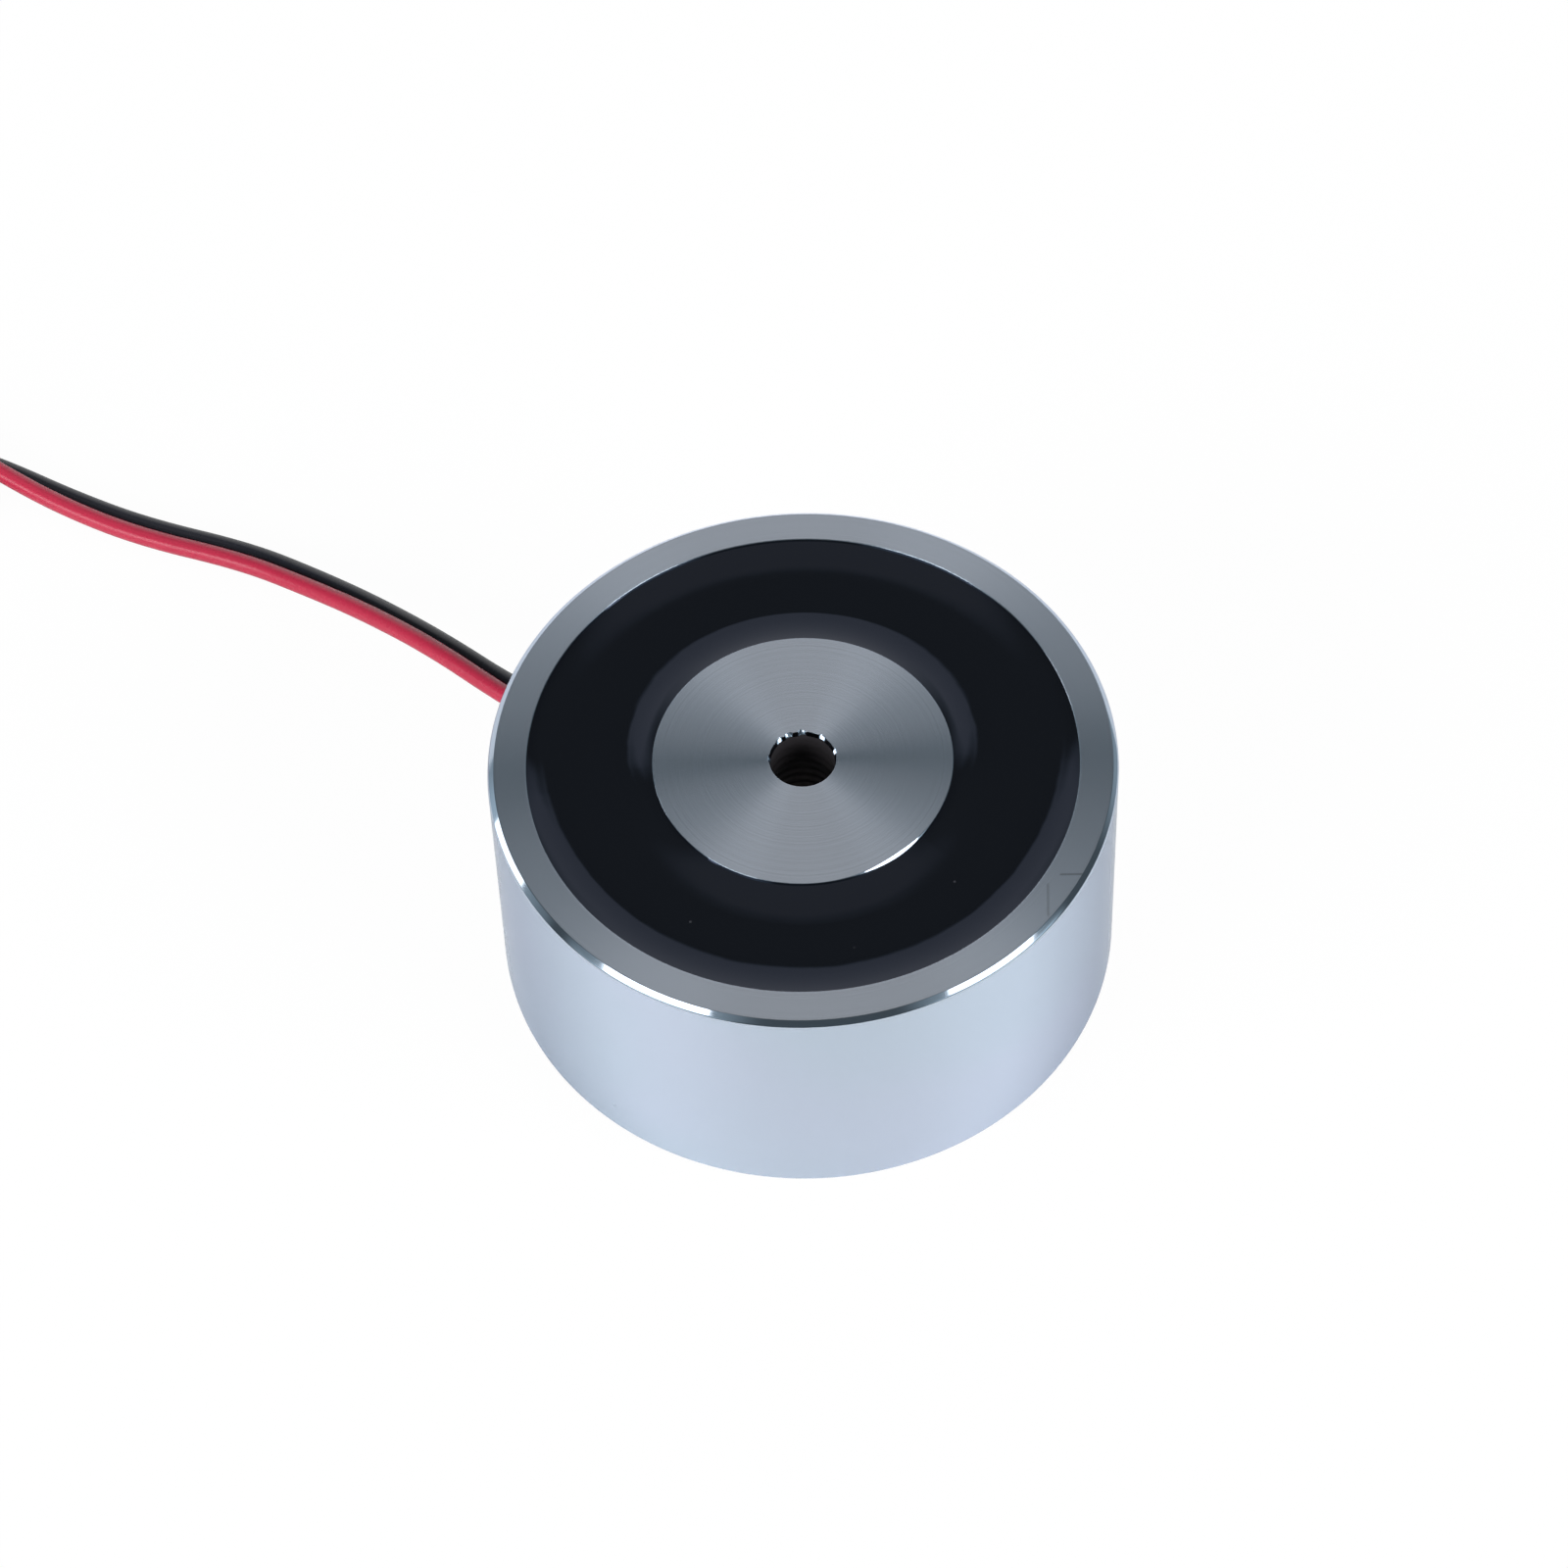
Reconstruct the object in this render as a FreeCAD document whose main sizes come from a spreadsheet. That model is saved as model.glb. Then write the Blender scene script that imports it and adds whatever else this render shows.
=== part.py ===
"""Round holding electromagnet: a turned steel pot with a potted coil, a tapped centre pole and a twin lead.

Units are millimetres. The origin is the middle of the back face, +Z points out of the holding face, and the
leads leave the wall along -X. Run it and each piece is written to parts/NAME.step.
"""
import FreeCAD
import Part
import Sketcher
import math
import os
from FreeCAD import Placement, Rotation, Vector

# Driving dimensions: alias, value (millimetres, or degrees where it says so), what it sets
SIZES = [
    ("body_dia", 65.0, "outside diameter of the pot"),
    ("body_height", 30.0, "back face to holding face"),
    ("pot_wall", 4.0, "wall between the coil well and the outside"),
    ("base_thick", 6.0, "back face to the floor of the coil well"),
    ("pole_dia", 31.0, "centre pole"),
    ("rim_chamfer", 0.65, "outer edge of the holding face"),
    ("back_chamfer", 0.5, "outer edge of the back face"),
    ("well_chamfer", 0.1, "edge break at the mouth of the well"),
    ("pole_chamfer", 0.15, "edge break on the pole"),
    ("thread_dia", 8.0, "nominal diameter of the tapped hole"),
    ("thread_pitch", 1.25, "pitch of the tapped hole"),
    ("face_countersink", 0.3, "deburred mouth of the tapped hole on the holding face"),
    ("back_countersink", 0.8, "countersunk mouth of the tapped hole on the back face"),
    ("bobbin_clearance", 0.2, "bobbin hub to pole, each side"),
    ("flange_clearance", 0.4, "bobbin flanges to well, where the resin runs past"),
    ("hub_wall", 0.9, "bobbin hub"),
    ("flange_thick", 1.0, "bobbin flanges"),
    ("cover_depth", 3.5, "holding face to the upper flange"),
    ("slot_width", 1.6, "slot in the lower flange for the start of the winding"),
    ("tape_thick", 0.25, "insulating tape on the winding"),
    ("joint_room", 3.25, "tape to well, where the leads are joined to the winding"),
    ("fill_drop", 1.2, "holding face to the flat of the potting"),
    ("lip_drop", 0.4, "holding face to where the potting wets the walls"),
    ("meniscus_width", 4.2, "potting's curved edge along each wall"),
    ("plug_recess", 0.6, "wall's outside to the potting in the lead hole"),
    ("lead_dia", 2.1, "insulation of each lead"),
    ("lead_gap", 0.1, "between the two leads of the pair"),
    ("lead_rise", 1.8, "lower flange to the middle of the lead hole"),
    ("lead_hole_clearance", 0.57, "pair of leads to the wall of its hole"),
    ("lead_straight", 8.5, "straight stretch of the leads outside the wall"),
    ("lead_bend", 2.5, "bend of each lead from its hole to the coil"),
    ("joint_angle", 28.0, "degrees round the coil from the lead hole to each joint"),
    ("strip_length", 6.0, "bared end of each lead"),
    ("conductor_dia", 0.95, "stranded conductor of each lead"),
    ("joint_dia", 1.5, "soldered joint"),
    ("sleeve_clearance", 0.05, "sleeve's bore to the lead"),
    ("sleeve_wall", 0.3, "sleeve on each joint"),
    ("sleeve_overlap", 4.0, "sleeve past each end of its joint"),
    ("winding_wire_dia", 0.5, "enamelled winding wire"),
    ("tail_reach", 5.0, "winding wire along the joint before it turns in"),
    ("coil_radius", 13.2, "spare lead: middle of its outer turn"),
    ("coil_turns", 2.3, "spare lead: turns"),
    ("turn_gap", 0.1, "spare lead: between turns"),
    ("end_clearance", 0.25, "spare lead: room round its tinned end"),
    ("tie_thick", 0.4, "tie round the spare lead"),
    ("tie_width", 2.5, "tie round the spare lead"),
    ("tie_corner", 0.3, "rounded corners of the tie"),
    ("tie_clearance", 0.05, "tie to the turns under it"),
    ("tie_angle", 65.0, "degrees round the spare lead to the tie"),
    ("twist_dia", 1.4, "twisted ends of the tie"),
    ("twist_length", 6.0, "twisted ends of the tie"),
]

# The pair of leads beyond its straight stretch: distance from the wall, sideways, height, and the degrees
# that the pair is rolled about its own line
LEAD_ROUTE = [
    (19.0, 0.3, 7.0, -33.0),
    (29.5, 0.8, 5.0, -34.0),
    (38.0, 0.4, 3.35, -34.0),
    (47.0, -0.7, 2.1, -34.0),
    (58.5, -4.9, 1.75, -34.0),
    (68.0, -6.8, 1.85, -40.0),
    (77.5, -8.2, 2.25, -70.0),
]
# Then the pair stands on edge, level with the turns of its spare length: the last corner, and where the
# first turn starts (distance from the wall, sideways)
COIL_ENTRY = [(84.0, -9.4), (89.5, -10.2)]
ON_EDGE = -90.0
ARC_SHARE = 0.45
ISO_THREAD_DEPTH = 1.0825
RED, BLACK = -1, 1

doc = FreeCAD.newDocument("holding_electromagnet")
sheet = doc.addObject("Spreadsheet::Sheet", "dims")
for row, (alias, value, words) in enumerate(SIZES, start=1):
    sheet.set(f"A{row}", alias)
    sheet.set(f"B{row}", str(value))
    sheet.setAlias(f"B{row}", alias)
    sheet.set(f"C{row}", words)
doc.recompute()

# Sizes that follow from the driving dimensions, as expressions on the sheet
BODY_R = "dims.body_dia / 2"
TOP_Z = "dims.body_height"
WELL_R = "(dims.body_dia / 2 - dims.pot_wall)"
WELL_Z = "dims.base_thick"
POLE_R = "dims.pole_dia / 2"
BORE_R = f"(dims.thread_dia - {ISO_THREAD_DEPTH} * dims.thread_pitch) / 2"
HUB_IN_R = "(dims.pole_dia / 2 + dims.bobbin_clearance)"
HUB_R = f"({HUB_IN_R} + dims.hub_wall)"
FLANGE_R = f"({WELL_R} - dims.flange_clearance)"
LOWER_FLANGE_Z = "(dims.base_thick + dims.flange_thick)"
BOBBIN_TOP_Z = "(dims.body_height - dims.cover_depth)"
UPPER_FLANGE_Z = f"({BOBBIN_TOP_Z} - dims.flange_thick)"
TAPE_R = f"({WELL_R} - dims.joint_room)"
WINDING_R = f"({TAPE_R} - dims.tape_thick)"
LAY_R = f"({WELL_R} - dims.joint_room / 2)"
LEAD_Z = f"({LOWER_FLANGE_Z} + dims.lead_rise)"
LEAD_HOLE_R = "(dims.lead_dia + dims.lead_gap / 2 + dims.lead_hole_clearance)"
SLEEVE_BORE_R = "(dims.lead_dia / 2 + dims.sleeve_clearance)"
SLEEVE_R = f"({SLEEVE_BORE_R} + dims.sleeve_wall)"
JOINT_SWEEP = f"(dims.strip_length / {LAY_R} * 180 / pi)"
SLEEVE_LAP = f"(dims.sleeve_overlap / {LAY_R} * 180 / pi)"
TURN_PITCH = "(dims.lead_dia + dims.turn_gap)"
COIL_INNER_R = f"(dims.coil_radius - dims.coil_turns * {TURN_PITCH})"
PAIR_PITCH = "(dims.lead_dia + dims.lead_gap)"
COIL_Z = "(dims.tie_thick + dims.tie_clearance)"
COIL_MIDDLE_Z = f"({COIL_Z} + dims.lead_dia + dims.lead_gap / 2)"


def size(expression):
    """The value that an expression on the sheet has now."""
    return float(sheet.evalExpression(expression))


def bind(item, **expressions):
    """Bind an object's properties to expressions on the sheet."""
    for name, expression in expressions.items():
        item.setExpression(name, expression)


def new_body(label):
    body = doc.addObject("PartDesign::Body", label)
    body.Label = label
    return body


def new_sketch(body, role, name):
    """A sketch on one of the body's own origin planes."""
    sketch = body.newObject("Sketcher::SketchObject", f"{body.Name}_{name}")
    plane = next(item for item in body.Origin.OriginFeatures if item.Role == role)
    sketch.AttachmentSupport = [(plane, "")]
    sketch.MapMode = "FlatFace"
    return sketch


def pin(sketch, kind, geometry, point, expression):
    """Fix one coordinate of a sketch point, measured from the sketch's origin."""
    if expression == "0":
        axis = -2 if kind == "DistanceX" else -1
        sketch.addConstraint(Sketcher.Constraint("PointOnObject", geometry, point, axis))
        return
    index = sketch.addConstraint(Sketcher.Constraint(kind, -1, 1, geometry, point, size(expression)))
    sketch.setExpression(f"Constraints[{index}]", expression)


def draw_outline(sketch, points, arc_centres=()):
    """A closed outline through (across, up) expressions.

    arc_centres holds, for an edge that is an arc, its number and its centre: the arc is tangent to the
    level line at the end that stands under its centre, so only the centre's place across is fixed.
    """
    centres = dict(arc_centres)
    corners = [Vector(size(across), size(up), 0) for across, up in points]
    first = sketch.GeometryCount
    for number, corner in enumerate(corners):
        following = corners[(number + 1) % len(corners)]
        if number in centres:
            edge = level_arc(corner, following, size(centres[number]))
        else:
            edge = Part.LineSegment(corner, following)
        sketch.addGeometry(edge, False)
    for number, (across, up) in enumerate(points):
        geometry = first + number
        following = first + (number + 1) % len(points)
        sketch.addConstraint(Sketcher.Constraint("Coincident", geometry, 2, following, 1))
        pin(sketch, "DistanceX", geometry, 1, across)
        pin(sketch, "DistanceY", geometry, 1, up)
        if number in centres:
            pin(sketch, "DistanceX", geometry, 3, centres[number])


def level_arc(start, end, centre_across):
    """The arc from start to end, counter-clockwise, that runs level where it passes under its centre."""
    low = min(start.y, end.y)
    rise = max(start.y, end.y) - low
    width = abs(end.x - start.x)
    radius = (width ** 2 + rise ** 2) / (2 * rise)
    centre = Vector(centre_across, low + radius, 0)
    angles = [math.atan2(point.y - centre.y, point.x - centre.x) for point in (start, end)]
    return Part.ArcOfCircle(Part.Circle(centre, Vector(0, 0, 1), radius), *angles)


def draw_circle(sketch, across, up, radius):
    """A circle whose centre and radius are expressions."""
    middle = Vector(size(across), size(up), 0)
    circle = sketch.addGeometry(Part.Circle(middle, Vector(0, 0, 1), size(radius)), False)
    pin(sketch, "DistanceX", circle, 3, across)
    pin(sketch, "DistanceY", circle, 3, up)
    index = sketch.addConstraint(Sketcher.Constraint("Radius", circle, size(radius)))
    sketch.setExpression(f"Constraints[{index}]", radius)


def turn(body, sketch, kind="Revolution", sweep="360"):
    """Turn a sketched section about Z, adding it (Revolution) or cutting it (Groove)."""
    feature = body.newObject(f"PartDesign::{kind}", f"{sketch.Name}_{kind.lower()}")
    feature.Profile = sketch
    feature.ReferenceAxis = (sketch, ["V_Axis"])
    feature.Angle = 360
    bind(feature, Angle=sweep)
    return feature


def turned_section(body, points, name="section", kind="Revolution", arc_centres=()):
    """Sketch a section of (radius, height) expressions and turn it through the full circle."""
    sketch = new_sketch(body, "XZ_Plane", name)
    draw_outline(sketch, points, arc_centres)
    return turn(body, sketch, kind)


def pocket(body, sketch, length, reverse=False):
    feature = body.newObject("PartDesign::Pocket", f"{sketch.Name}_pocket")
    feature.Profile = sketch
    feature.Reversed = reverse
    bind(feature, Length=length)
    return feature


def pad(body, sketch, length, middle=False, reverse=False):
    feature = body.newObject("PartDesign::Pad", f"{sketch.Name}_pad")
    feature.Profile = sketch
    feature.Midplane = middle
    feature.Reversed = reverse
    bind(feature, Length=length)
    return feature


def rotate_about_z(item, angle, base=("0", "0", "0")):
    """Place an object by expressions: its origin, and its angle about Z in degrees."""
    item.Placement = Placement(Vector(), Rotation(Vector(0, 0, 1), 1))
    item.setExpression("Placement.Rotation.Angle", angle)
    for axis, expression in zip("xyz", base):
        item.setExpression(f"Placement.Base.{axis}", expression)


# The pot and what is cast in it
def make_pot_body():
    """Turned blank, coil well, tapped hole at its minor diameter, and the drilled lead hole."""
    body = new_body("pot_body")
    turned_section(body, [
        ("0", "0"),
        (f"{BODY_R} - dims.back_chamfer", "0"),
        (BODY_R, "dims.back_chamfer"),
        (BODY_R, f"{TOP_Z} - dims.rim_chamfer"),
        (f"{BODY_R} - dims.rim_chamfer", TOP_Z),
        ("0", TOP_Z),
    ], "blank")
    turned_section(body, [
        (POLE_R, WELL_Z),
        (WELL_R, WELL_Z),
        (WELL_R, f"{TOP_Z} - dims.well_chamfer"),
        (f"{WELL_R} + dims.well_chamfer", TOP_Z),
        (f"{POLE_R} - dims.pole_chamfer", TOP_Z),
        (POLE_R, f"{TOP_Z} - dims.pole_chamfer"),
    ], "well", "Groove")
    turned_section(body, [
        ("0", "0"),
        (f"{BORE_R} + dims.back_countersink", "0"),
        (BORE_R, "dims.back_countersink"),
        (BORE_R, f"{TOP_Z} - dims.face_countersink"),
        (f"{BORE_R} + dims.face_countersink", TOP_Z),
        ("0", TOP_Z),
    ], "bore", "Groove")
    hole = new_sketch(body, "YZ_Plane", "lead_hole")
    draw_circle(hole, "0", LEAD_Z, LEAD_HOLE_R)
    hole.setExpression("AttachmentOffset.Base.z", f"-{LAY_R}")
    pocket(body, hole, BODY_R)
    return body


def make_bobbin():
    """Spool with two flanges and a slot across the lower one for the start of the winding."""
    body = new_body("coil_bobbin")
    turned_section(body, [
        (HUB_IN_R, WELL_Z),
        (FLANGE_R, WELL_Z),
        (FLANGE_R, LOWER_FLANGE_Z),
        (HUB_R, LOWER_FLANGE_Z),
        (HUB_R, UPPER_FLANGE_Z),
        (FLANGE_R, UPPER_FLANGE_Z),
        (FLANGE_R, BOBBIN_TOP_Z),
        (HUB_IN_R, BOBBIN_TOP_Z),
    ])
    slot = new_sketch(body, "XY_Plane", "slot")
    near, far = "dims.tail_reach - dims.slot_width / 2", "dims.tail_reach + dims.slot_width / 2"
    draw_outline(slot, [(HUB_R, near), (WELL_R, near), (WELL_R, far), (HUB_R, far)])
    slot.setExpression("AttachmentOffset.Base.z", LOWER_FLANGE_Z)
    pocket(body, slot, "dims.flange_thick")
    rotate_about_z(body, f"180 + dims.joint_angle + {JOINT_SWEEP}")
    return body


def make_winding():
    body = new_body("coil_winding")
    turned_section(body, [
        (HUB_R, LOWER_FLANGE_Z),
        (WINDING_R, LOWER_FLANGE_Z),
        (WINDING_R, UPPER_FLANGE_Z),
        (HUB_R, UPPER_FLANGE_Z),
    ])
    return body


def make_tape(finish_tail):
    """Tape round the winding, with the hole that the finish of the winding comes out of."""
    wrap = new_body("coil_tape_wrap")
    turned_section(wrap, [
        (WINDING_R, LOWER_FLANGE_Z),
        (TAPE_R, LOWER_FLANGE_Z),
        (TAPE_R, UPPER_FLANGE_Z),
        (WINDING_R, UPPER_FLANGE_Z),
    ])
    return cut("coil_tape", wrap, finish_tail)


def make_potting(buried):
    """Resin over and round the coil and in the lead hole, cast round every buried piece."""
    casting = new_body("potting_casting")
    flat_z, lip_z = f"{TOP_Z} - dims.fill_drop", f"{TOP_Z} - dims.lip_drop"
    inner_edge, outer_edge = f"{POLE_R} + dims.meniscus_width", f"{WELL_R} - dims.meniscus_width"
    turned_section(casting, [
        (POLE_R, lip_z),
        (inner_edge, flat_z),
        (outer_edge, flat_z),
        (WELL_R, lip_z),
        (WELL_R, LOWER_FLANGE_Z),
        (TAPE_R, LOWER_FLANGE_Z),
        (TAPE_R, UPPER_FLANGE_Z),
        (FLANGE_R, UPPER_FLANGE_Z),
        (FLANGE_R, BOBBIN_TOP_Z),
        (POLE_R, BOBBIN_TOP_Z),
    ], arc_centres=[(0, inner_edge), (2, outer_edge)])
    plug = new_sketch(casting, "YZ_Plane", "plug")
    draw_circle(plug, "0", LEAD_Z, LEAD_HOLE_R)
    plug_root = f"({WELL_R} - dims.flange_clearance / 2)"
    plug.setExpression("AttachmentOffset.Base.z", f"-{plug_root}")
    pad(casting, plug, f"{BODY_R} - {plug_root} - dims.plug_recess", reverse=True)
    for piece in buried[:-1]:
        casting = cut(f"potting_round_{piece.Label}", casting, piece)
    return cut("potting_compound", casting, buried[-1])


def cut(label, base, tool):
    result = doc.addObject("Part::Cut", label)
    result.Label = label
    result.Base = base
    result.Tool = tool
    return result


# Leads, joints and the ends of the winding
def ring_segment(label, radius, start, sweep, bore=None):
    """A round bar, or a tube, bent round the coil at the height of the lead hole."""
    body = new_body(label)
    section = new_sketch(body, "XZ_Plane", "section")
    draw_circle(section, LAY_R, LEAD_Z, radius)
    if bore:
        draw_circle(section, LAY_R, LEAD_Z, bore)
    turn(body, section, sweep=sweep)
    rotate_about_z(body, start)
    return body


def make_joint(colour, side):
    """The soldered joint of a lead with the winding wire, its sleeve, and the room that the sleeve takes."""
    nearest = {RED: "dims.joint_angle", BLACK: f"-dims.joint_angle - {JOINT_SWEEP}"}[side]
    start = f"180 + {nearest}"
    sleeve_start = f"{start} - {SLEEVE_LAP}"
    sleeve_sweep = f"{JOINT_SWEEP} + 2 * {SLEEVE_LAP}"
    joint = ring_segment(f"{colour}_joint", "dims.joint_dia / 2", start, JOINT_SWEEP)
    sleeve = ring_segment(f"{colour}_joint_sleeve", SLEEVE_R, sleeve_start, sleeve_sweep, SLEEVE_BORE_R)
    envelope = ring_segment(f"{colour}_joint_envelope", SLEEVE_R, sleeve_start, sleeve_sweep)
    return joint, sleeve, envelope


def rounded_path(points):
    """Straight runs through the points, joined by tangent arcs as large as the runs allow, and their radii."""
    edges, radii = [], []
    reached = points[0]
    for before, corner, after in zip(points, points[1:], points[2:]):
        inward, outward = (before - corner).normalize(), (after - corner).normalize()
        turn_angle = math.pi - inward.getAngle(outward)
        setback = ARC_SHARE * min((before - corner).Length, (after - corner).Length)
        radius = setback / math.tan(turn_angle / 2)
        start, end = corner + inward * setback, corner + outward * setback
        bisector = (inward + outward).normalize()
        middle = corner + bisector * (radius / math.cos(turn_angle / 2) - radius)
        edges += [Part.LineSegment(reached, start), Part.Arc(start, middle, end)]
        radii.append(radius)
        reached = end
    edges.append(Part.LineSegment(reached, points[-1]))
    return edges, radii


def tube(label, edges, diameter):
    """A round solid along the edges, whose volume has to be its section times its length."""
    path = Part.Wire([edge.toShape() for edge in edges])
    start = path.Edges[0].valueAt(path.Edges[0].FirstParameter)
    heading = path.Edges[0].tangentAt(path.Edges[0].FirstParameter)
    section = Part.Face(Part.Wire([Part.Circle(start, heading, diameter / 2).toShape()]))
    solid = path.makePipe(section)
    expected = section.Area * path.Length
    if abs(solid.Volume - expected) > 0.001 * expected:
        raise RuntimeError(f"{label}: volume {solid.Volume:.2f} for {expected:.2f}")
    item = doc.addObject("Part::Feature", label)
    item.Label = label
    item.Shape = solid
    item.Placement = Placement()
    return item, path.Length


def pair_points(side):
    """One lead's route: the pair's route, moved half the pair's pitch to that lead's side."""
    wall = -size(BODY_R)
    height = size(LEAD_Z)
    straight = size("dims.lead_straight")
    middle = [(Vector(wall, 0, height), 0.0), (Vector(wall - straight, 0, height), 0.0)]
    middle += [(Vector(wall - away, across, up), roll) for away, across, up, roll in LEAD_ROUTE]
    middle += [(Vector(wall - away, across, size(COIL_MIDDLE_Z)), ON_EDGE) for away, across in COIL_ENTRY]
    points = []
    for number, (point, roll) in enumerate(middle):
        behind, ahead = middle[max(number - 1, 0)][0], middle[min(number + 1, len(middle) - 1)][0]
        heading = Vector(ahead.x - behind.x, ahead.y - behind.y, 0).normalize()
        right = Vector(heading.y, -heading.x, 0)
        angle = math.radians(roll)
        offset = right * math.cos(angle) + Vector(0, 0, 1) * math.sin(angle)
        points.append(point + offset * (side * size(PAIR_PITCH) / 2))
    return points


def make_lead(colour, side):
    """A lead from its joint, round the coil, out through the wall and along its route."""
    lay, bend, height = size(LAY_R), size("dims.lead_bend"), size(LEAD_Z)
    half_pitch = side * size(PAIR_PITCH) / 2
    bend_y = half_pitch + side * bend
    bend_x = -math.sqrt((lay + bend) ** 2 - bend_y ** 2)
    bend_centre = Vector(bend_x, bend_y, height)
    meeting = math.pi - math.asin(bend_y / (lay + bend))
    joint = math.pi - side * math.radians(size("dims.joint_angle"))

    def on_lay(angle):
        return Vector(lay * math.cos(angle), lay * math.sin(angle), height)

    bend_start, bend_end = on_lay(meeting), Vector(bend_x, half_pitch, height)
    outward = ((bend_start - bend_centre).normalize() + (bend_end - bend_centre).normalize()).normalize()
    inside = [
        Part.Arc(on_lay(joint), on_lay((joint + meeting) / 2), bend_start),
        Part.Arc(bend_start, bend_centre + outward * bend, bend_end),
    ]
    points = pair_points(side)
    outside, radii = rounded_path([bend_end] + points[1:])
    lead, length = tube(f"{colour}_lead", inside + outside, size("dims.lead_dia"))
    outside_length = sum(edge.length() for edge in outside) - (points[0] - bend_end).Length
    turns_length = math.pi * size("dims.coil_turns") * size(f"dims.coil_radius + {COIL_INNER_R}")
    print(f"{colour}_lead: {length:.1f} mm of tube, {outside_length:.1f} mm of it outside the wall,")
    print(f"  {outside_length + turns_length + size('dims.strip_length'):.1f} mm outside with its turns and end,")
    print("  bend radii", " ".join(f"{radius:.0f}" for radius in radii))
    return lead


def make_tail(label, points, side):
    """An end of the winding wire, from its joint; points are (outwards, along the joint's end, height)."""
    corners = [Vector(size(out), size(along) * -side, size(up)) for out, along, up in points]
    edges, _ = rounded_path(corners)
    tail, _ = tube(label, edges, size("dims.winding_wire_dia"))
    away = "dims.joint_angle + " + JOINT_SWEEP
    rotate_about_z(tail, f"180 + {away}" if side == RED else f"180 - ({away})")
    return tail


def make_tails():
    """The start comes out under the lower flange's slot, and the finish through the tape."""
    slot_z = f"{LOWER_FLANGE_Z} - dims.winding_wire_dia / 2"
    finish = [
        (LAY_R, "0", LEAD_Z),
        (LAY_R, "dims.tail_reach", LEAD_Z),
        (f"sqrt({WINDING_R}^2 - dims.tail_reach^2) - dims.winding_wire_dia", "dims.tail_reach", LEAD_Z),
    ]
    start = [
        (LAY_R, "0", LEAD_Z),
        (LAY_R, "dims.tail_reach", LEAD_Z),
        (LAY_R, "dims.tail_reach", slot_z),
        (f"{HUB_R} + dims.winding_wire_dia", "dims.tail_reach", slot_z),
    ]
    return make_tail("start_tail", start, RED), make_tail("finish_tail_wire", finish, BLACK)


# Spare length of the leads
def coil_place():
    """Middle of the spare length's turns, and the angle from there to where its first turn starts."""
    before, start = COIL_ENTRY
    heading = math.degrees(math.atan2(start[1] - before[1], before[0] - start[0]))
    angle = heading - 90
    turn_radius = size("dims.coil_radius")
    middle_x = -start[0] - turn_radius * math.cos(math.radians(angle))
    middle_y = start[1] - turn_radius * math.sin(math.radians(angle))
    return f"{middle_x} - {BODY_R}", str(middle_y), angle


def place_on_coil(body, level, angle="0"):
    """Put a body into the frame of the spare length's turns, at the lower (0) or upper (1) lead's level."""
    middle_x, middle_y, start_angle = coil_place()
    height = f"{COIL_Z} + {level} * {PAIR_PITCH}"
    rotate_about_z(body, f"{start_angle} + {angle}", (middle_x, middle_y, height))


def end_sketch(body, name):
    """A sketch on the section through the turns where the leads' insulation ends."""
    sketch = new_sketch(body, "XZ_Plane", name)
    sketch.AttachmentOffset = Placement(Vector(), Rotation(Vector(0, 1, 0), 1))
    sketch.setExpression("AttachmentOffset.Rotation.Angle", "mod(360 * dims.coil_turns; 360)")
    return sketch


def make_lead_coil(colour, level):
    """Outer shape of one lead's turns: a flat ring, open where the lead comes in and where its end lies."""
    inner, outer = f"({COIL_INNER_R} - dims.lead_dia / 2)", "(dims.coil_radius + dims.lead_dia / 2)"
    body = new_body(f"{colour}_lead_coil")
    ring = new_sketch(body, "XY_Plane", "ring")
    draw_circle(ring, "0", "0", outer)
    draw_circle(ring, "0", "0", inner)
    pad(body, ring, "dims.lead_dia")
    mouth = new_sketch(body, "XY_Plane", "mouth")
    mouth_r = f"dims.coil_radius - {TURN_PITCH} / 2"
    draw_outline(mouth, [(mouth_r, f"-{outer}"), (outer, f"-{outer}"), (outer, "0"), (mouth_r, "0")])
    pocket(body, mouth, "dims.lead_dia", reverse=True)
    notch = end_sketch(body, "end")
    notch_r = f"{COIL_INNER_R} + dims.conductor_dia / 2 + dims.end_clearance"
    draw_outline(notch, [(inner, "0"), (notch_r, "0"), (notch_r, "dims.lead_dia"), (inner, "dims.lead_dia")])
    turn(body, notch, "Groove", f"(dims.strip_length + dims.end_clearance) / {COIL_INNER_R} * 180 / pi")
    place_on_coil(body, level)
    return body


def make_lead_end(colour, level):
    """The bared and tinned end of a lead, which follows its last turn."""
    body = new_body(f"{colour}_lead_end")
    section = end_sketch(body, "section")
    draw_circle(section, COIL_INNER_R, "dims.lead_dia / 2", "dims.conductor_dia / 2")
    turn(body, section, sweep=f"dims.strip_length / {COIL_INNER_R} * 180 / pi")
    place_on_coil(body, level)
    return body


def corner_edges(shape):
    """Names of the edges along Y at the four corners of a shape's box."""
    names = []
    box = shape.BoundBox
    for number, edge in enumerate(shape.Edges, start=1):
        middle = edge.CenterOfMass - box.Center
        across, up = 2 * abs(middle.x) / box.XLength, 2 * abs(middle.z) / box.ZLength
        if min(across, up) > 0.99:
            names.append(f"Edge{number}")
    return names


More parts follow.
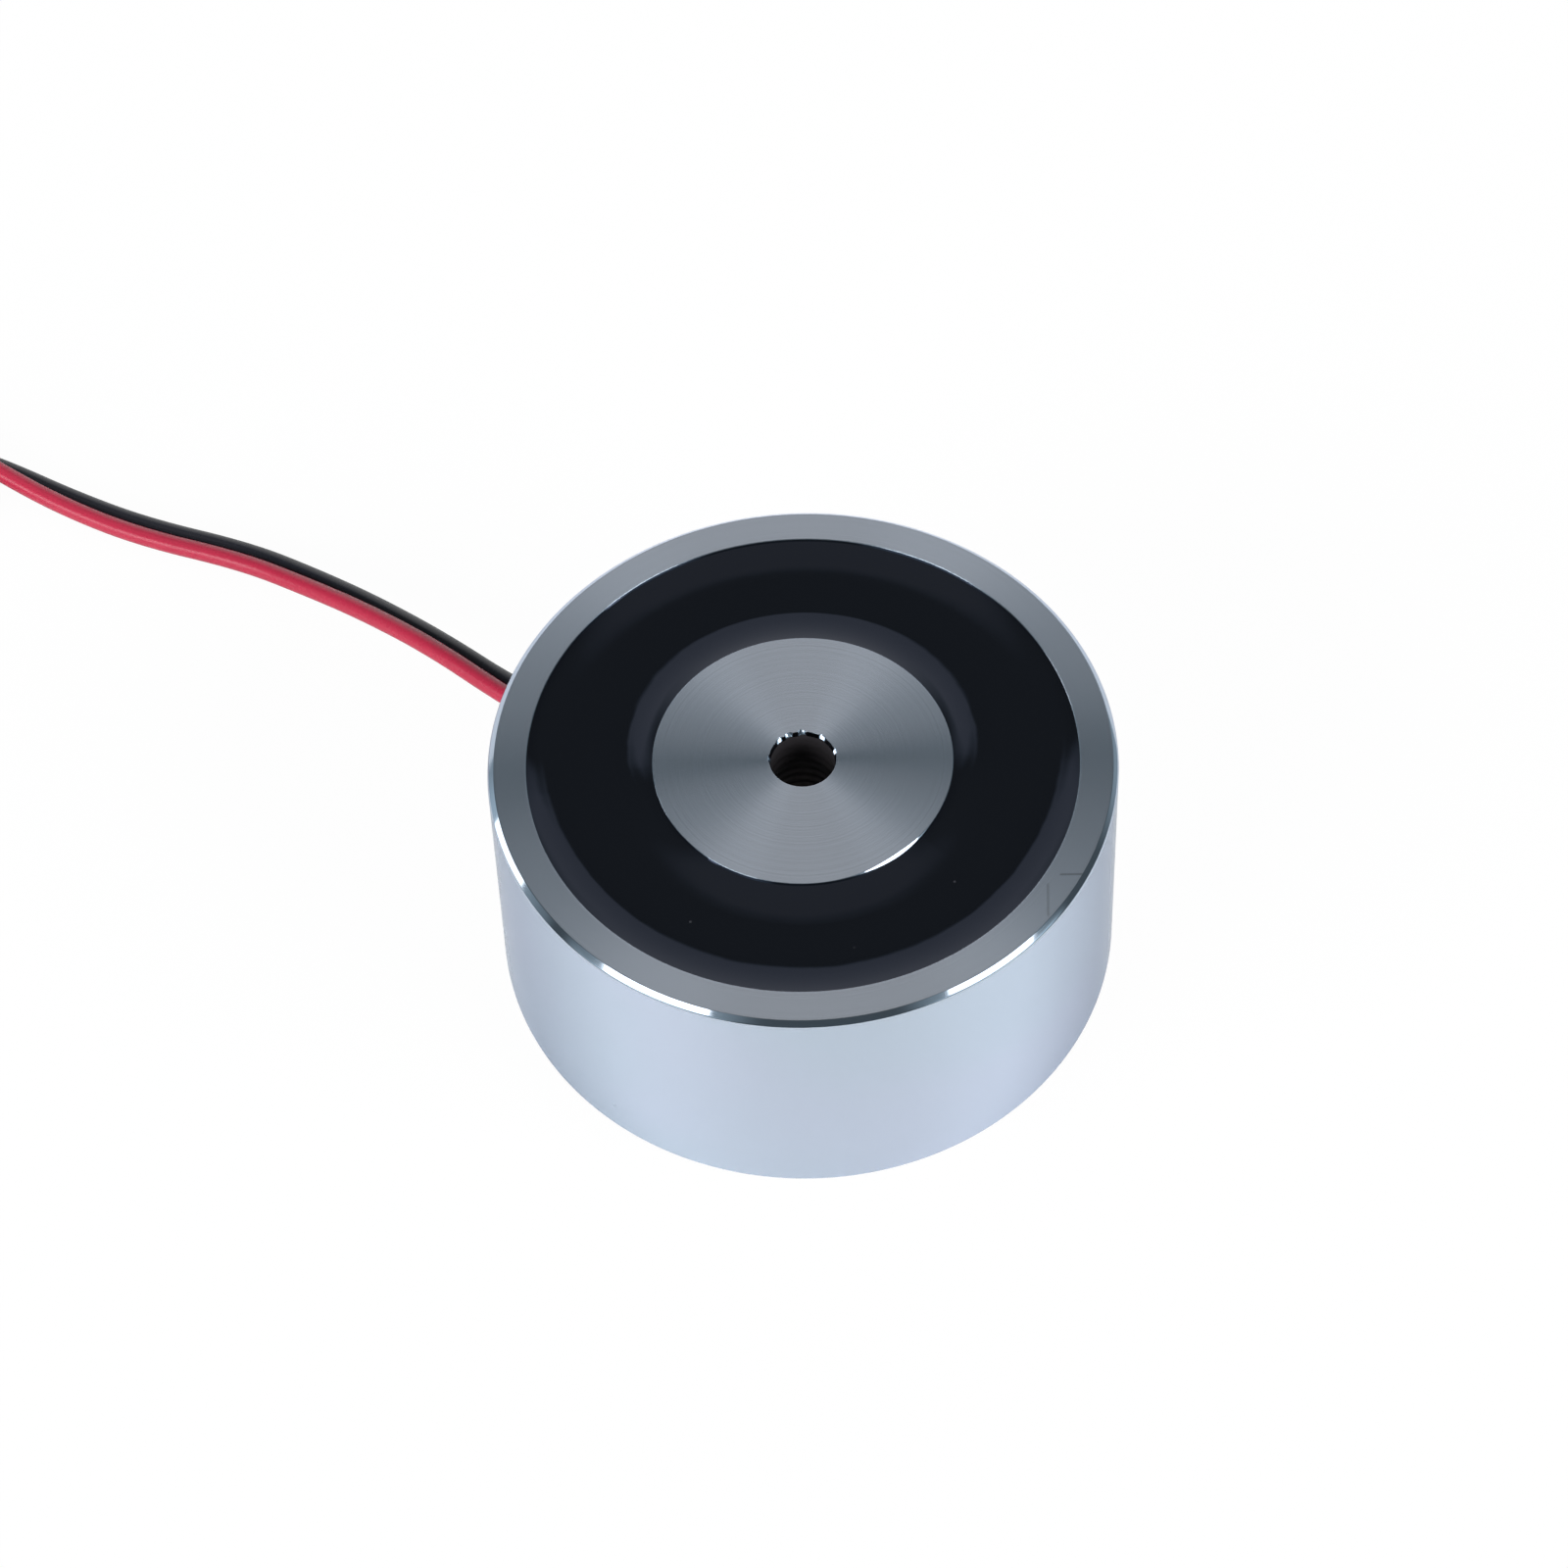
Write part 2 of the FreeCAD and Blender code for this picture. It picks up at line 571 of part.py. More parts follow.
def make_tie():
    """A wire tie round both leads' turns, with its ends twisted together outside them."""
    body = new_body("lead_tie")
    inside = f"(sqrt(({COIL_INNER_R} - dims.lead_dia / 2)^2 - (dims.tie_width / 2)^2) - dims.tie_clearance)"
    outside = "(dims.coil_radius + dims.lead_dia / 2 + dims.tie_clearance)"
    stack = "(2 * dims.lead_dia + dims.lead_gap + 2 * dims.tie_clearance)"
    near, far = f"{inside} - dims.tie_thick", f"{outside} + dims.tie_thick"
    band_top = f"{stack} + dims.tie_thick"
    band = new_sketch(body, "XZ_Plane", "band")
    draw_outline(band, [(near, "0"), (far, "0"), (far, f"{band_top} + dims.tie_thick"),
                        (near, f"{band_top} + dims.tie_thick")])
    draw_outline(band, [(inside, "dims.tie_thick"), (outside, "dims.tie_thick"), (outside, band_top),
                        (inside, band_top)])
    loop = pad(body, band, "dims.tie_width", middle=True)
    doc.recompute()
    corners = body.newObject("PartDesign::Fillet", "lead_tie_corners")
    corners.Base = (loop, corner_edges(loop.Shape))
    bind(corners, Radius="dims.tie_corner")
    twist = new_sketch(body, "YZ_Plane", "twist")
    draw_circle(twist, "0", f"dims.tie_thick + {stack} / 2", "dims.twist_dia / 2")
    twist.setExpression("AttachmentOffset.Base.z", outside)
    pad(body, twist, "dims.tie_thick + dims.twist_length")
    place_on_coil(body, 0, "dims.tie_angle")
    body.setExpression("Placement.Base.z", "0")
    return body


def export(pieces):
    """Refuse failed features and bad solids, then write each piece under its own name."""
    doc.recompute()
    failed = [item.Label for item in doc.Objects if {"Invalid", "Error"} & set(item.State)]
    if failed:
        raise RuntimeError(f"failed: {', '.join(failed)}")
    os.makedirs("parts", exist_ok=True)
    for piece in pieces:
        if piece.Shape.isNull() or not piece.Shape.isValid():
            raise RuntimeError(f"{piece.Label} is not a valid shape")
        piece.Shape.exportStep(f"parts/{piece.Label}.step")
        print(f"{piece.Label}: {len(piece.Shape.Solids)} solid, {piece.Shape.Volume:.1f} mm3")


pot_body = make_pot_body()
bobbin = make_bobbin()
winding = make_winding()
start_tail, finish_wire = make_tails()
finish_tail = cut("finish_tail", finish_wire, winding)
tape = make_tape(finish_wire)
red_joint, red_sleeve, red_envelope = make_joint("red", RED)
black_joint, black_sleeve, black_envelope = make_joint("black", BLACK)
red_lead = make_lead("red", RED)
black_lead = make_lead("black", BLACK)
potting = make_potting([red_lead, black_lead, red_envelope, black_envelope, start_tail, finish_wire])
export([
    pot_body, potting, bobbin, winding, tape, start_tail, finish_tail,
    red_joint, black_joint, red_sleeve, black_sleeve, red_lead, black_lead,
    make_lead_coil("black", 0), make_lead_coil("red", 1),
    make_lead_end("black", 0), make_lead_end("red", 1), make_tie(),
])
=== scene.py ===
"""Looks of the round holding electromagnet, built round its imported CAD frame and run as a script."""
import math

import bmesh
import bpy
from bpy.props import FloatProperty, FloatVectorProperty, IntProperty, PointerProperty
from bpy.types import Operator, Panel, PropertyGroup
from mathutils import Matrix, Vector


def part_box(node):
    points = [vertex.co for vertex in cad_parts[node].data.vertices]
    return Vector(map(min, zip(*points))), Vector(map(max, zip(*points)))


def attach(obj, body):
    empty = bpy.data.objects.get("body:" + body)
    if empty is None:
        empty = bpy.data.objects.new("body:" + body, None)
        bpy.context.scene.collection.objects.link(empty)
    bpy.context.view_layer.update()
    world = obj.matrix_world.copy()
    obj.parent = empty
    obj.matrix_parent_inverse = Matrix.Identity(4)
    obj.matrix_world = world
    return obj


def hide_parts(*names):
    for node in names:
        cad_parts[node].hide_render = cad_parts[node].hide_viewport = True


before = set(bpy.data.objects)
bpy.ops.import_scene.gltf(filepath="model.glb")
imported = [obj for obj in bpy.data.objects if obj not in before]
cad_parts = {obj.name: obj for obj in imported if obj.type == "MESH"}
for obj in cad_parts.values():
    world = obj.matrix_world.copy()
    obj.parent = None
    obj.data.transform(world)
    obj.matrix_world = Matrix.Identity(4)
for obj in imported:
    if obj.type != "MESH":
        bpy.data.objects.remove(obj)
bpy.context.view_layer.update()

bl_info = {
    "name": "Holding Electromagnet",
    "version": (1, 0, 0),
    "blender": (4, 5, 0),
    "location": "View3D > Sidebar > Magnet",
    "description": "Dresses the packed holding electromagnet: plating, potting resin, twin lead and studio",
    "category": "Object",
}

POT_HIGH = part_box("pot_body")[1]
MM = 0.001

# The pair of leads outside the wall: distance from the wall, sideways, height in metres, and the degrees that
# the pair is rolled about its own line
LEAD_ROUTE = [
    (0.0085, 0.0000, 0.0075, -26.0),
    (0.0190, 0.0003, 0.0072, -31.0),
    (0.0295, 0.0008, 0.0048, -27.0),
    (0.0380, 0.0004, 0.0032, -22.0),
    (0.0470, -0.0007, 0.0020, -20.0),
    (0.0585, -0.0049, 0.0017, -20.0),
    (0.0680, -0.0070, 0.0017, -25.0),
    (0.0775, -0.0083, 0.0020, -44.0),
]
COIL_ENTRY = [(0.0840, -0.0094), (0.0895, -0.0102)]
ON_EDGE = -90.0
RED, BLACK = -1, 1

# Where the countersink tool dug in at the mouth of the tapped hole: bearing in degrees, and how much further
# out the place lies at its end than in its middle, in metres
MOUTH_NICKS = [(55.0, 0.0), (92.0, 0.0), (128.0, 0.00036), (153.0, 0.0), (173.0, 0.0), (216.0, 0.0)]

# Scratches on the rim: from one place to another in metres, and how much each shows
RIM_SCRATCHES = [
    ((0.0292, 0.0030), (0.0317, -0.0003), 0.45),
    ((0.0295, 0.0045), (0.0319, 0.0064), 0.675),
]
SCRATCH_WIDTH = 0.18 * MM

# Thread form, as shares of the pitch: half the groove's breadth at the bore's wall, and the run of one flank
GROOVE_HALF = 0.375
FLANK = 0.3125

# Fineness: mesh rows in one pitch of the thread, cells across the lead hole, points in a turn of the leads
THREAD_ROWS = 8
HOLE_CELLS = 10
TURN_POINTS = 24

# Softboxes: from one place to another, each as degrees round from the camera's right and above the floor,
# breadth in degrees, and radiance
SOFTBOXES = {
    "box_front_left": ((-154.6, 23.4), (-121.4, 30.5), 9, 4.4),
    "box_front_right": ((-48.0, 28.7), (-20.0, 21.6), 9, 4.4),
    "strip_left": ((173.6, 11.9), (156.3, 3.4), 8, 2.4),
}

# Lamps that light the part and don't show in its gloss, given in the same way
KEY_LAMPS = {
    "key_left": ((-165, 22), (-125, 22), 30, 9.0),
    "key_right": ((-52, 22), (-12, 22), 30, 9.0),
}

# Bounds in the studio room, each as where a change sets in and where it is complete. Heights are the sine of
# the angle above the floor, and sides the cosine of the angle round from straight behind the part.
LOW_ROOM = (0.70, 0.60)
ROOM_FOOT = (0.35, 0.15)
ROOM_SIDES = (0.15, 0.5)
BACKDROP_SIDES = (0.82, 0.975)
BACKDROP_TOP = (0.77, 0.746)
BACKDROP_HEIGHT = 0.76
CEILING_EDGE = (0.855, 0.935)
SPILL_TOP = (0.36, 0.3)
SPILL_SIDES = (0.0, -0.3)

# The backdrop flares out by this much between two heights
FLARE_TOP = (0.745, 0.67)
FLARE_FOOT = (0.64, 0.5)
FLARE = 0.12

# Share of a softbox's half length within which its glow is full
GLOW_CORE = 0.8

# Turns the long way of a brushed gloss from along the lathe's marks to across them
QUARTER_TURN = 0.25

# Finishes of the pot, as material slots
TURNED, POLISHED, TAPPED = 0, 1, 2


def length(name, description, default):
    return FloatProperty(name=name, description=description, default=default, unit="LENGTH", precision=5)


def colour(name, description, *default):
    return FloatVectorProperty(name=name, description=description, default=default, subtype="COLOR", size=3)


def angle(name, description, degrees):
    return FloatProperty(name=name, description=description, default=math.radians(degrees), unit="ROTATION")


def level(name, description, default):
    return FloatProperty(name=name, description=description, default=default, min=0, subtype="FACTOR")


class PotSizes(PropertyGroup):
    """Sizes of the turned pot."""
    radius: length("Radius", "Outside of the pot", POT_HIGH.x)
    height: length("Height", "Back face to holding face", POT_HIGH.z)
    well_radius: length("Well radius", "Wall of the coil well", 28.5 * MM)
    well_floor: length("Well floor", "Height of the well's floor", 6 * MM)
    pole_radius: length("Pole radius", "Centre pole", 15.5 * MM)
    rim_chamfer: length("Rim chamfer", "Outer edge of the holding face", 0.61 * MM)
    rim_runout: length("Rim runout", "How far that chamfer is cut off centre", 0.05 * MM)
    rim_lean: angle("Rim lean", "Bearing at which the chamfer is widest", 190.0)
    back_chamfer: length("Back chamfer", "Outer edge of the back face", 0.5 * MM)
    well_chamfer: length("Well chamfer", "Edge break at the mouth of the well", 0.07 * MM)
    pole_chamfer: length("Pole chamfer", "Edge break on the pole", 0.0375 * MM)
    pole_wide: length("Wide pole chamfer", "That edge break where it is widest", 0.3 * MM)
    pole_nick: angle("Pole nick", "Bearing at which it is widest", -14.0)
    pole_falloff: IntProperty(name="Pole falloff", description="How fast it narrows again", default=44, min=1)
    sharp_edge: length("Sharp edge", "Rounding of the turned edges", 0.05 * MM)
    rim_edge: length("Rim edge", "Rounding between the rim and its chamfer", 0.1 * MM)
    rim_wear: length("Rim wear", "Rounding between that chamfer and the wall, by handling", 0.5 * MM)
    worn_edge: length("Worn edge", "Rounding of the outer edges by handling", 0.25 * MM)
    bore_radius: length("Bore radius", "Minor radius of the tapped hole", 3.3234 * MM)
    thread_radius: length("Thread radius", "Major radius of the tapped hole", 4.0 * MM)
    thread_pitch: length("Thread pitch", "Pitch of the tapped hole", 1.25 * MM)
    thread_fade: length("Thread fade", "How far below the holding face the tap's taper goes", 25 * MM)
    # Heights between which painted light makes the tapped wall paler further in, where little light reaches;
    # above them the wall is black with oil
    painted_light_top: length("Oil", "Height down to which oil blackens the tapped wall", 26.8 * MM)
    painted_light_full: length("Oil's end", "Height below which that wall is clean", 21.5 * MM)
    back_countersink: length("Back countersink", "Mouth of the tapped hole on the back face", 0.8 * MM)
    face_countersink: length("Face countersink", "Mouth of the tapped hole on the holding face", 0.15 * MM)
    mouth_depth: length("Mouth depth", "Depth of that mouth", 0.6 * MM)
    nick_depth: length("Nick depth", "Depth of the mouth where the countersink tool dug in", 0.34 * MM)
    nick_width: length("Nick width", "How much wider the mouth is there", 0.19 * MM)
    nick_breadth: angle("Nick breadth", "Reach of such a place to either side", 10.0)
    lead_hole_radius: length("Lead hole radius", "Drilled hole for the leads", 2.72 * MM)
    lead_hole_height: length("Lead hole height", "Middle of the drilled hole", 8.8 * MM)
    columns: IntProperty(name="Columns", description="Mesh columns round the pot", default=240, min=48)


class LeadSizes(PropertyGroup):
    """Sizes of the twin lead and its tied-up spare length."""
    diameter: length("Lead diameter", "Insulation of each lead", 2.1 * MM)
    pitch: length("Pitch", "Between the middles of the two leads and of neighbouring turns", 2.2 * MM)
    buried: length("Buried stretch", "Start of each lead inside the wall's resin", 2.0 * MM)
    coil_radius: length("Coil radius", "Middle of the spare length's outer turn", 13.2 * MM)
    turns: FloatProperty(name="Turns", description="Turns of the spare length", default=2.3, min=1)
    lower_level: length("Lower level", "Height of the black lead's turns", 1.5 * MM)
    free_length: length("Free length", "Each lead outside the wall", 250 * MM)
    strip_length: length("Stripped end", "Bared and tinned end of each lead", 6 * MM)
    conductor: length("Conductor", "Diameter of the stranded conductor", 0.95 * MM)
    strand_lay: length("Strand lay", "Length in which the strands go once round", 5 * MM)


class TieSizes(PropertyGroup):
    """Sizes of the wire tie round the spare length."""
    bearing: angle("Bearing", "Round the turns from where they start", 65.0)
    width: length("Width", "Ribbon", 2.5 * MM)
    thickness: length("Thickness", "Ribbon over its wire", 0.4 * MM)
    wing: length("Wing", "Ribbon beside its wire", 0.16 * MM)
    clearance: length("Clearance", "Tie to the turns under it", 0.05 * MM)
    twist_length: length("Twist length", "Twisted ends", 6 * MM)
    twist_diameter: length("Twist diameter", "Twisted ends", 1.4 * MM)
    twist_turns: FloatProperty(name="Twist turns", description="Twisted ends", default=2.5, min=0)


class Finishes(PropertyGroup):
    """Colours and shares of the finishes."""
    plating: colour("Plating", "Bright zinc plating", 0.605, 0.685, 0.785)
    plating_cast: colour("Plating cast", "Faint violet cast of the passivation", 0.625, 0.685, 0.80)
    plating_edge: colour("Plating edge", "Lilac cast of the plating at a glancing angle", 0.90, 0.92, 1.0)
    polish: level("Polishing marks", "Share of the wall's gloss that they draw out", 0.3)
    chamfer: colour("Chamfer", "Zinc on the edges, polished bright", 0.48, 0.545, 0.64)
    turned: colour("Turned plating", "Zinc on the turned faces", 0.60, 0.665, 0.77)
    # Painted shade: a darker copy of the turned zinc, put in rings along the tool marks
    turned_mark_shade: colour("Tool marks", "Bottom of the tool marks", 0.56, 0.62, 0.715)
    scratch: colour("Scratch", "Scratches in the plating", 0.33, 0.37, 0.41)
    tapped: colour("Tapped bore", "Oil on the wall of the tapped hole", 0.021, 0.019, 0.021)
    # Painted light: a paler wall deep in the tapped hole, standing in for light that hardly reaches there
    tapped_painted_light: colour("Tapped bore, inside", "Wall of the tapped hole further in", 0.24, 0.215, 0.225)
    resin: colour("Resin", "Black potting resin", 0.0054, 0.0062, 0.0078)
    resin_gloss: colour("Resin gloss", "Tint of the resin's gloss", 0.52, 0.64, 1.0)
    dust: colour("Dust", "Specks on the resin", 0.028, 0.028, 0.030)
    red_insulation: colour("Red insulation", "Red lead", 0.42, 0.022, 0.055)
    black_insulation: colour("Black insulation", "Black lead", 0.0155, 0.0165, 0.0245)
    tinned: colour("Tinned copper", "Bared ends of the leads and soldered joints", 0.72, 0.71, 0.68)
    copper: colour("Copper", "Enamelled winding wire", 0.70, 0.30, 0.13)
    nylon: colour("Nylon", "Coil bobbin", 0.80, 0.78, 0.72)
    tape: colour("Tape", "Insulating tape", 0.80, 0.50, 0.06)
    sleeving: colour("Sleeving", "Braided sleeves on the joints", 0.05, 0.05, 0.05)
    tie: colour("Wire tie", "Tie round the spare length", 0.02, 0.02, 0.022)


class Studio(PropertyGroup):
    """Camera and light."""
    azimuth: angle("Azimuth", "Camera round the object", 40.0)
    elevation: angle("Elevation", "Camera above the floor", 54.88)
    roll: angle("Roll", "Camera about its own line of sight", -2.14)
    distance: length("Distance", "Camera to the middle of the holding face", 583.7 * MM)
    offset_right: length("Offset right", "Camera beside the line through the holding face", -2.015 * MM)
    offset_up: length("Offset up", "Camera above that line", -2.5 * MM)
    lens: FloatProperty(name="Lens", description="Focal length", default=130.3, unit="CAMERA")
    room_front: level("Room in front", "Dark room behind the camera", 0.11)
    room_side: level("Room at the sides", "Room beside and above the backdrop", 0.085)
    room_low: level("Room low down", "Lower part of the room beside the backdrop", 0.14)
    room_foot: level("Room's foot", "Foot of the room beside the backdrop", 0.42)
    backdrop_low: level("Backdrop foot", "Backdrop behind the part, at the floor", 1.25)
    backdrop_high: level("Backdrop top", "Backdrop behind the part, at its upper edge", 0.80)
    ceiling: level("Ceiling", "Ceiling over the part", 0.42)
    room_tint: colour("Room tint", "Cool cast of the unlit room", 0.80, 0.96, 1.03)
    ceiling_tint: colour("Ceiling tint", "Warm cast of the ceiling", 0.96, 0.91, 0.85)
    glow: level("Glow", "Dim glow round each softbox", 0.3)
    spill: level("Spill", "Glow under the softboxes in front, next to the floor", 1.4)
    glow_reach: angle("Glow reach", "How far the glow goes past a softbox's ends", 15.0)
    floor_size: length("Floor", "Radius of the floor", 400 * MM)
    floor_gap: length("Floor gap", "Floor below the back face", 0.1 * MM)
    floor_paper: colour("Floor paper", "Plain pale paper on the floor", 0.86, 0.86, 0.86)
    floor_seen: level("Floor seen", "Share of plain white in the floor as the camera sees it", 0.97)
    floor_mirrored: level("Floor mirrored", "Share of plain white in the floor as the gloss shows it", 0.12)


# Shader nodes
class Field:
    """A socket of a node tree; Python's operators on it add Math nodes."""

    def __init__(self, tree, socket):
        self.tree = tree
        self.socket = socket

    def output(self, name):
        """Another output of the same node."""
        return Field(self.tree, self.socket.node.outputs[name])

    def maths(self, operation, *values):
        return self.tree.node("Math", {"operation": operation}, dict(enumerate(values)))

    def __add__(self, other):
        return self.maths("ADD", self, other)

    def __radd__(self, other):
        return self.maths("ADD", other, self)

    def __sub__(self, other):
        return self.maths("SUBTRACT", self, other)

    def __rsub__(self, other):
        return self.maths("SUBTRACT", other, self)

    def __mul__(self, other):
        return self.maths("MULTIPLY", self, other)

    def __rmul__(self, other):
        return self.maths("MULTIPLY", other, self)

    def __truediv__(self, other):
        return self.maths("DIVIDE", self, other)

    def __pow__(self, other):
        return self.maths("POWER", self, other)

    def size(self):
        return self.maths("ABSOLUTE", self)

    def sine(self):
        return self.maths("SINE", self)

    def step(self, low, high):
        """0 below low, 1 above high, smooth between them; the other way round where high is the smaller."""
        settings = {"interpolation_type": "SMOOTHSTEP", "clamp": True}
        if low < high:
            return self.tree.node("MapRange", settings, {0: self, 1: low, 2: high})
        return 1 - self.tree.node("MapRange", settings, {0: self, 1: high, 2: low})


class Tree:
    """The nodes of one material or of the world."""

    def __init__(self, owner):
        owner.use_nodes = True
        self.nodes = owner.node_tree.nodes
        self.links = owner.node_tree.links
        self.nodes.clear()

    def node(self, kind, settings=None, sockets=None, out=0):
        """Add a node, set it up, fill or link its sockets, and give one of its outputs."""
        node = self.nodes.new(f"ShaderNode{kind}")
        for name, value in (settings or {}).items():
            setattr(node, name, value)
        for name, value in (sockets or {}).items():
            if isinstance(value, Field):
                self.links.new(value.socket, node.inputs[name])
            else:
                node.inputs[name].default_value = value
        return Field(self, node.outputs[out]) if node.outputs else None

    def place(self):
        """Where a point lies on the part, in metres."""
        return self.node("TexCoord", out="Object")

    def axes(self, vector):
        """The three parts of a vector."""
        parts = self.node("SeparateXYZ", sockets={0: vector})
        return [parts.output(name) for name in "XYZ"]

    def dot(self, vector, heading):
        """How far a vector goes along a heading."""
        sockets = {0: vector, 1: heading}
        return self.node("VectorMath", {"operation": "DOT_PRODUCT"}, sockets, out="Value")

    def noise(self, vector, scale, detail=2.0):
        return self.node("TexNoise", sockets={"Vector": vector, "Scale": scale, "Detail": detail})

    def rings(self, radius, scale):
        """Noise that changes with the distance from the lathe's axis alone."""
        sockets = {"W": radius, "Scale": scale, "Detail": 3.0}
        return self.node("TexNoise", {"noise_dimensions": "1D"}, sockets)

    def specks(self, vector, scale, size, share):
        """Round specks in a share of the cells of a loose pattern, as a mask."""
        cells = self.node("TexVoronoi", sockets={"Vector": vector, "Scale": scale})
        chance = self.axes(cells.output("Color"))[0]
        return cells.output("Distance").step(size, size / 2) * chance.step(1 - share, 1 - share / 2)

    def blend(self, factor, first, second):
        """Mix two colours."""
        sockets = {0: factor, 6: self.rgba(first), 7: self.rgba(second)}
        return self.node("Mix", {"data_type": "RGBA"}, sockets, out=2)

    @staticmethod
    def rgba(value):
        return value if isinstance(value, Field) else (*value, 1)

    def bump(self, height, distance):
        return self.node("Bump", sockets={"Height": height, "Distance": distance})

    def principled(self, **sockets):
        """A Principled shader with sockets named in words."""
        named = {}
        for name, value in sockets.items():
            named[name.replace("_", " ").title().replace("Ior", "IOR")] = value
        for name in ("Base Color", "Specular Tint"):
            if name in named:
                named[name] = self.rgba(named[name])
        return self.node("BsdfPrincipled", sockets=named)

    def finish(self, shader, kind="Material"):
        self.node(f"Output{kind}", sockets={"Surface": shader})


def new_material(name):
    material = bpy.data.materials.new(name)
    return material, Tree(material)


# Finishes
def polished_plating(finishes, sizes):
    """Bright zinc: a mirror on the chamfers, and on the wall drawn out across its fine polishing marks."""
    material, tree = new_material("polished_plating")
    place = tree.place()
    _, _, z = tree.axes(place)
    edge = sizes.height - sizes.rim_chamfer
    wall = z.step(edge + sizes.rim_wear / 5, edge - sizes.rim_wear / 2)
    cast = tree.noise(place, scale=45.0, detail=1.0).step(0.4, 0.7)
    haze = tree.noise(place, scale=160.0, detail=3.0).step(0.35, 0.8)
    pits = tree.specks(place, scale=260.0, size=0.09, share=0.05)
    base = tree.blend(cast, finishes.plating, finishes.plating_cast)
    base = tree.blend(pits, tree.blend(wall, finishes.chamfer, base), finishes.turned)
    mirror = tree.principled(
        base_color=base, metallic=1.0, roughness=0.07 + haze * 0.05 + pits * 0.2,
        specular_tint=finishes.plating_edge)
    brushed = tree.principled(
        base_color=base, metallic=1.0, roughness=0.7, anisotropic=0.95, anisotropic_rotation=QUARTER_TURN)
    tree.finish(tree.node("MixShader", sockets={0: wall * finishes.polish, 1: mirror, 2: brushed}))
    return material


def scratch(x, y, start, end, width):
    """A fine straight scratch between two places on a face, as a mask."""
    run = Vector(end) - Vector(start)
    ahead = run.normalized()
    along = (x - start[0]) * ahead.x + (y - start[1]) * ahead.y
    across = (y - start[1]) * ahead.x - (x - start[0]) * ahead.y
    ends = along.step(0, width) * along.step(run.length, run.length - width)
    return across.size().step(width, width / 2) * ends


def turned_plating(finishes):
    """Zinc over the lathe's circular tool marks, with painted shade in rings along them, on the holding face
    and the back, with a scratched rim.
    """
    material, tree = new_material("turned_plating")
    place = tree.place()
    x, y, _ = tree.axes(place)
    radius = (x * x + y * y) ** 0.5
    marks = tree.rings(radius, scale=5000.0)
    wear = sum(share * scratch(x, y, start, end, SCRATCH_WIDTH) for start, end, share in RIM_SCRATCHES)
    # Painted shade: rings along the tool marks take the darker tool mark shade colour
    base = tree.blend(marks.step(0.3, 0.75), finishes.turned, finishes.turned_mark_shade)
    tree.finish(tree.principled(
        base_color=tree.blend(wear, base, finishes.scratch), metallic=1.0, roughness=0.262 + marks * 0.012,
        anisotropic=0.998, anisotropic_rotation=QUARTER_TURN, normal=tree.bump(marks, distance=0.000002)))
    return material


def tapped_steel(finishes, sizes):
    """The wall of the tapped hole: black with oil at its mouth, and painted paler further in, as painted
    light where little light reaches.
    """
    material, tree = new_material("tapped_steel")
    place = tree.place()
    _, _, z = tree.axes(place)
    smear = tree.noise(place, scale=600.0, detail=3.0)
    # Painted light: below the oily mouth the wall turns paler with depth, as if lit deep inside
    base = tree.blend(z.step(sizes.painted_light_top, sizes.painted_light_full), finishes.tapped, finishes.tapped_painted_light)
    base = tree.blend(smear.step(0.3, 0.7) * 0.3, base, finishes.tapped)
    tree.finish(tree.principled(base_color=base, roughness=0.5 + smear * 0.15))
    return material


def potting_resin(finishes):
    """Black epoxy with a gloss skin that isn't quite level, and a few specks of dust."""
    material, tree = new_material("potting_epoxy")
    place = tree.place()
    waves = tree.noise(place, scale=260.0, detail=1.0)
    dust = tree.specks(place, scale=330.0, size=0.06, share=0.09)
    tree.finish(tree.principled(
        base_color=tree.blend(dust, finishes.resin, finishes.dust), roughness=0.025 + dust * 0.5,
        specular_ior_level=0.4, specular_tint=finishes.resin_gloss,
        normal=tree.bump(waves, distance=0.000012)))
    return material


def insulation(name, shade):
    """Soft extruded vinyl, a little uneven and dusty."""
    material, tree = new_material(name)
    mottle = tree.noise(tree.place(), scale=700.0)
    base = tree.blend(mottle.step(0.3, 0.8), shade, [part * 0.94 for part in shade])
    tree.finish(tree.principled(
        base_color=base, roughness=0.25 + mottle * 0.05, normal=tree.bump(mottle, distance=0.000005)))
    return material


def wound_copper(finishes, leads):
    """Enamelled wire, laid turn beside turn, with painted shade in the grooves between the turns."""
    material, tree = new_material("enamelled_copper")
    place = tree.place()
    _, _, z = tree.axes(place)
    turns = (z * (math.tau / (leads.conductor / 2))).sine()
    # Painted shade: the copper is darkened where the turns dip, in the grooves between them
    base = tree.blend(turns.step(-1, 0.2), [part * 0.45 for part in finishes.copper], finishes.copper)
    tree.finish(tree.principled(
        base_color=base, metallic=1.0, roughness=0.22 + tree.noise(place, scale=900.0) * 0.1,
        coat_weight=0.4, normal=tree.bump(turns, distance=0.00012)))
    return material


def mottled(name, shade, roughness, metallic=0.0, scale=500.0, grain=0.00001):
    """A plain material with a little grain."""
    material, tree = new_material(name)
    grains = tree.noise(tree.place(), scale, detail=3.0)
    base = tree.blend(grains.step(0.3, 0.8), shade, [part * 0.8 for part in shade])
    tree.finish(tree.principled(
        base_color=base, metallic=metallic, roughness=roughness + grains * 0.1,
        normal=tree.bump(grains, distance=grain)))
    return material


# Objects and meshes
def add_object(name, data):
    item = bpy.data.objects.new(name, data)
    bpy.context.scene.collection.objects.link(item)
    return item


def add_piece(name, data, slot, *stands_for):
    """Put a mesh or curve in the scene as a piece that rides on the part and stands for CAD nodes."""
    piece = add_object(name, data)
    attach(piece, "root")
    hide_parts(*stands_for)
    return piece


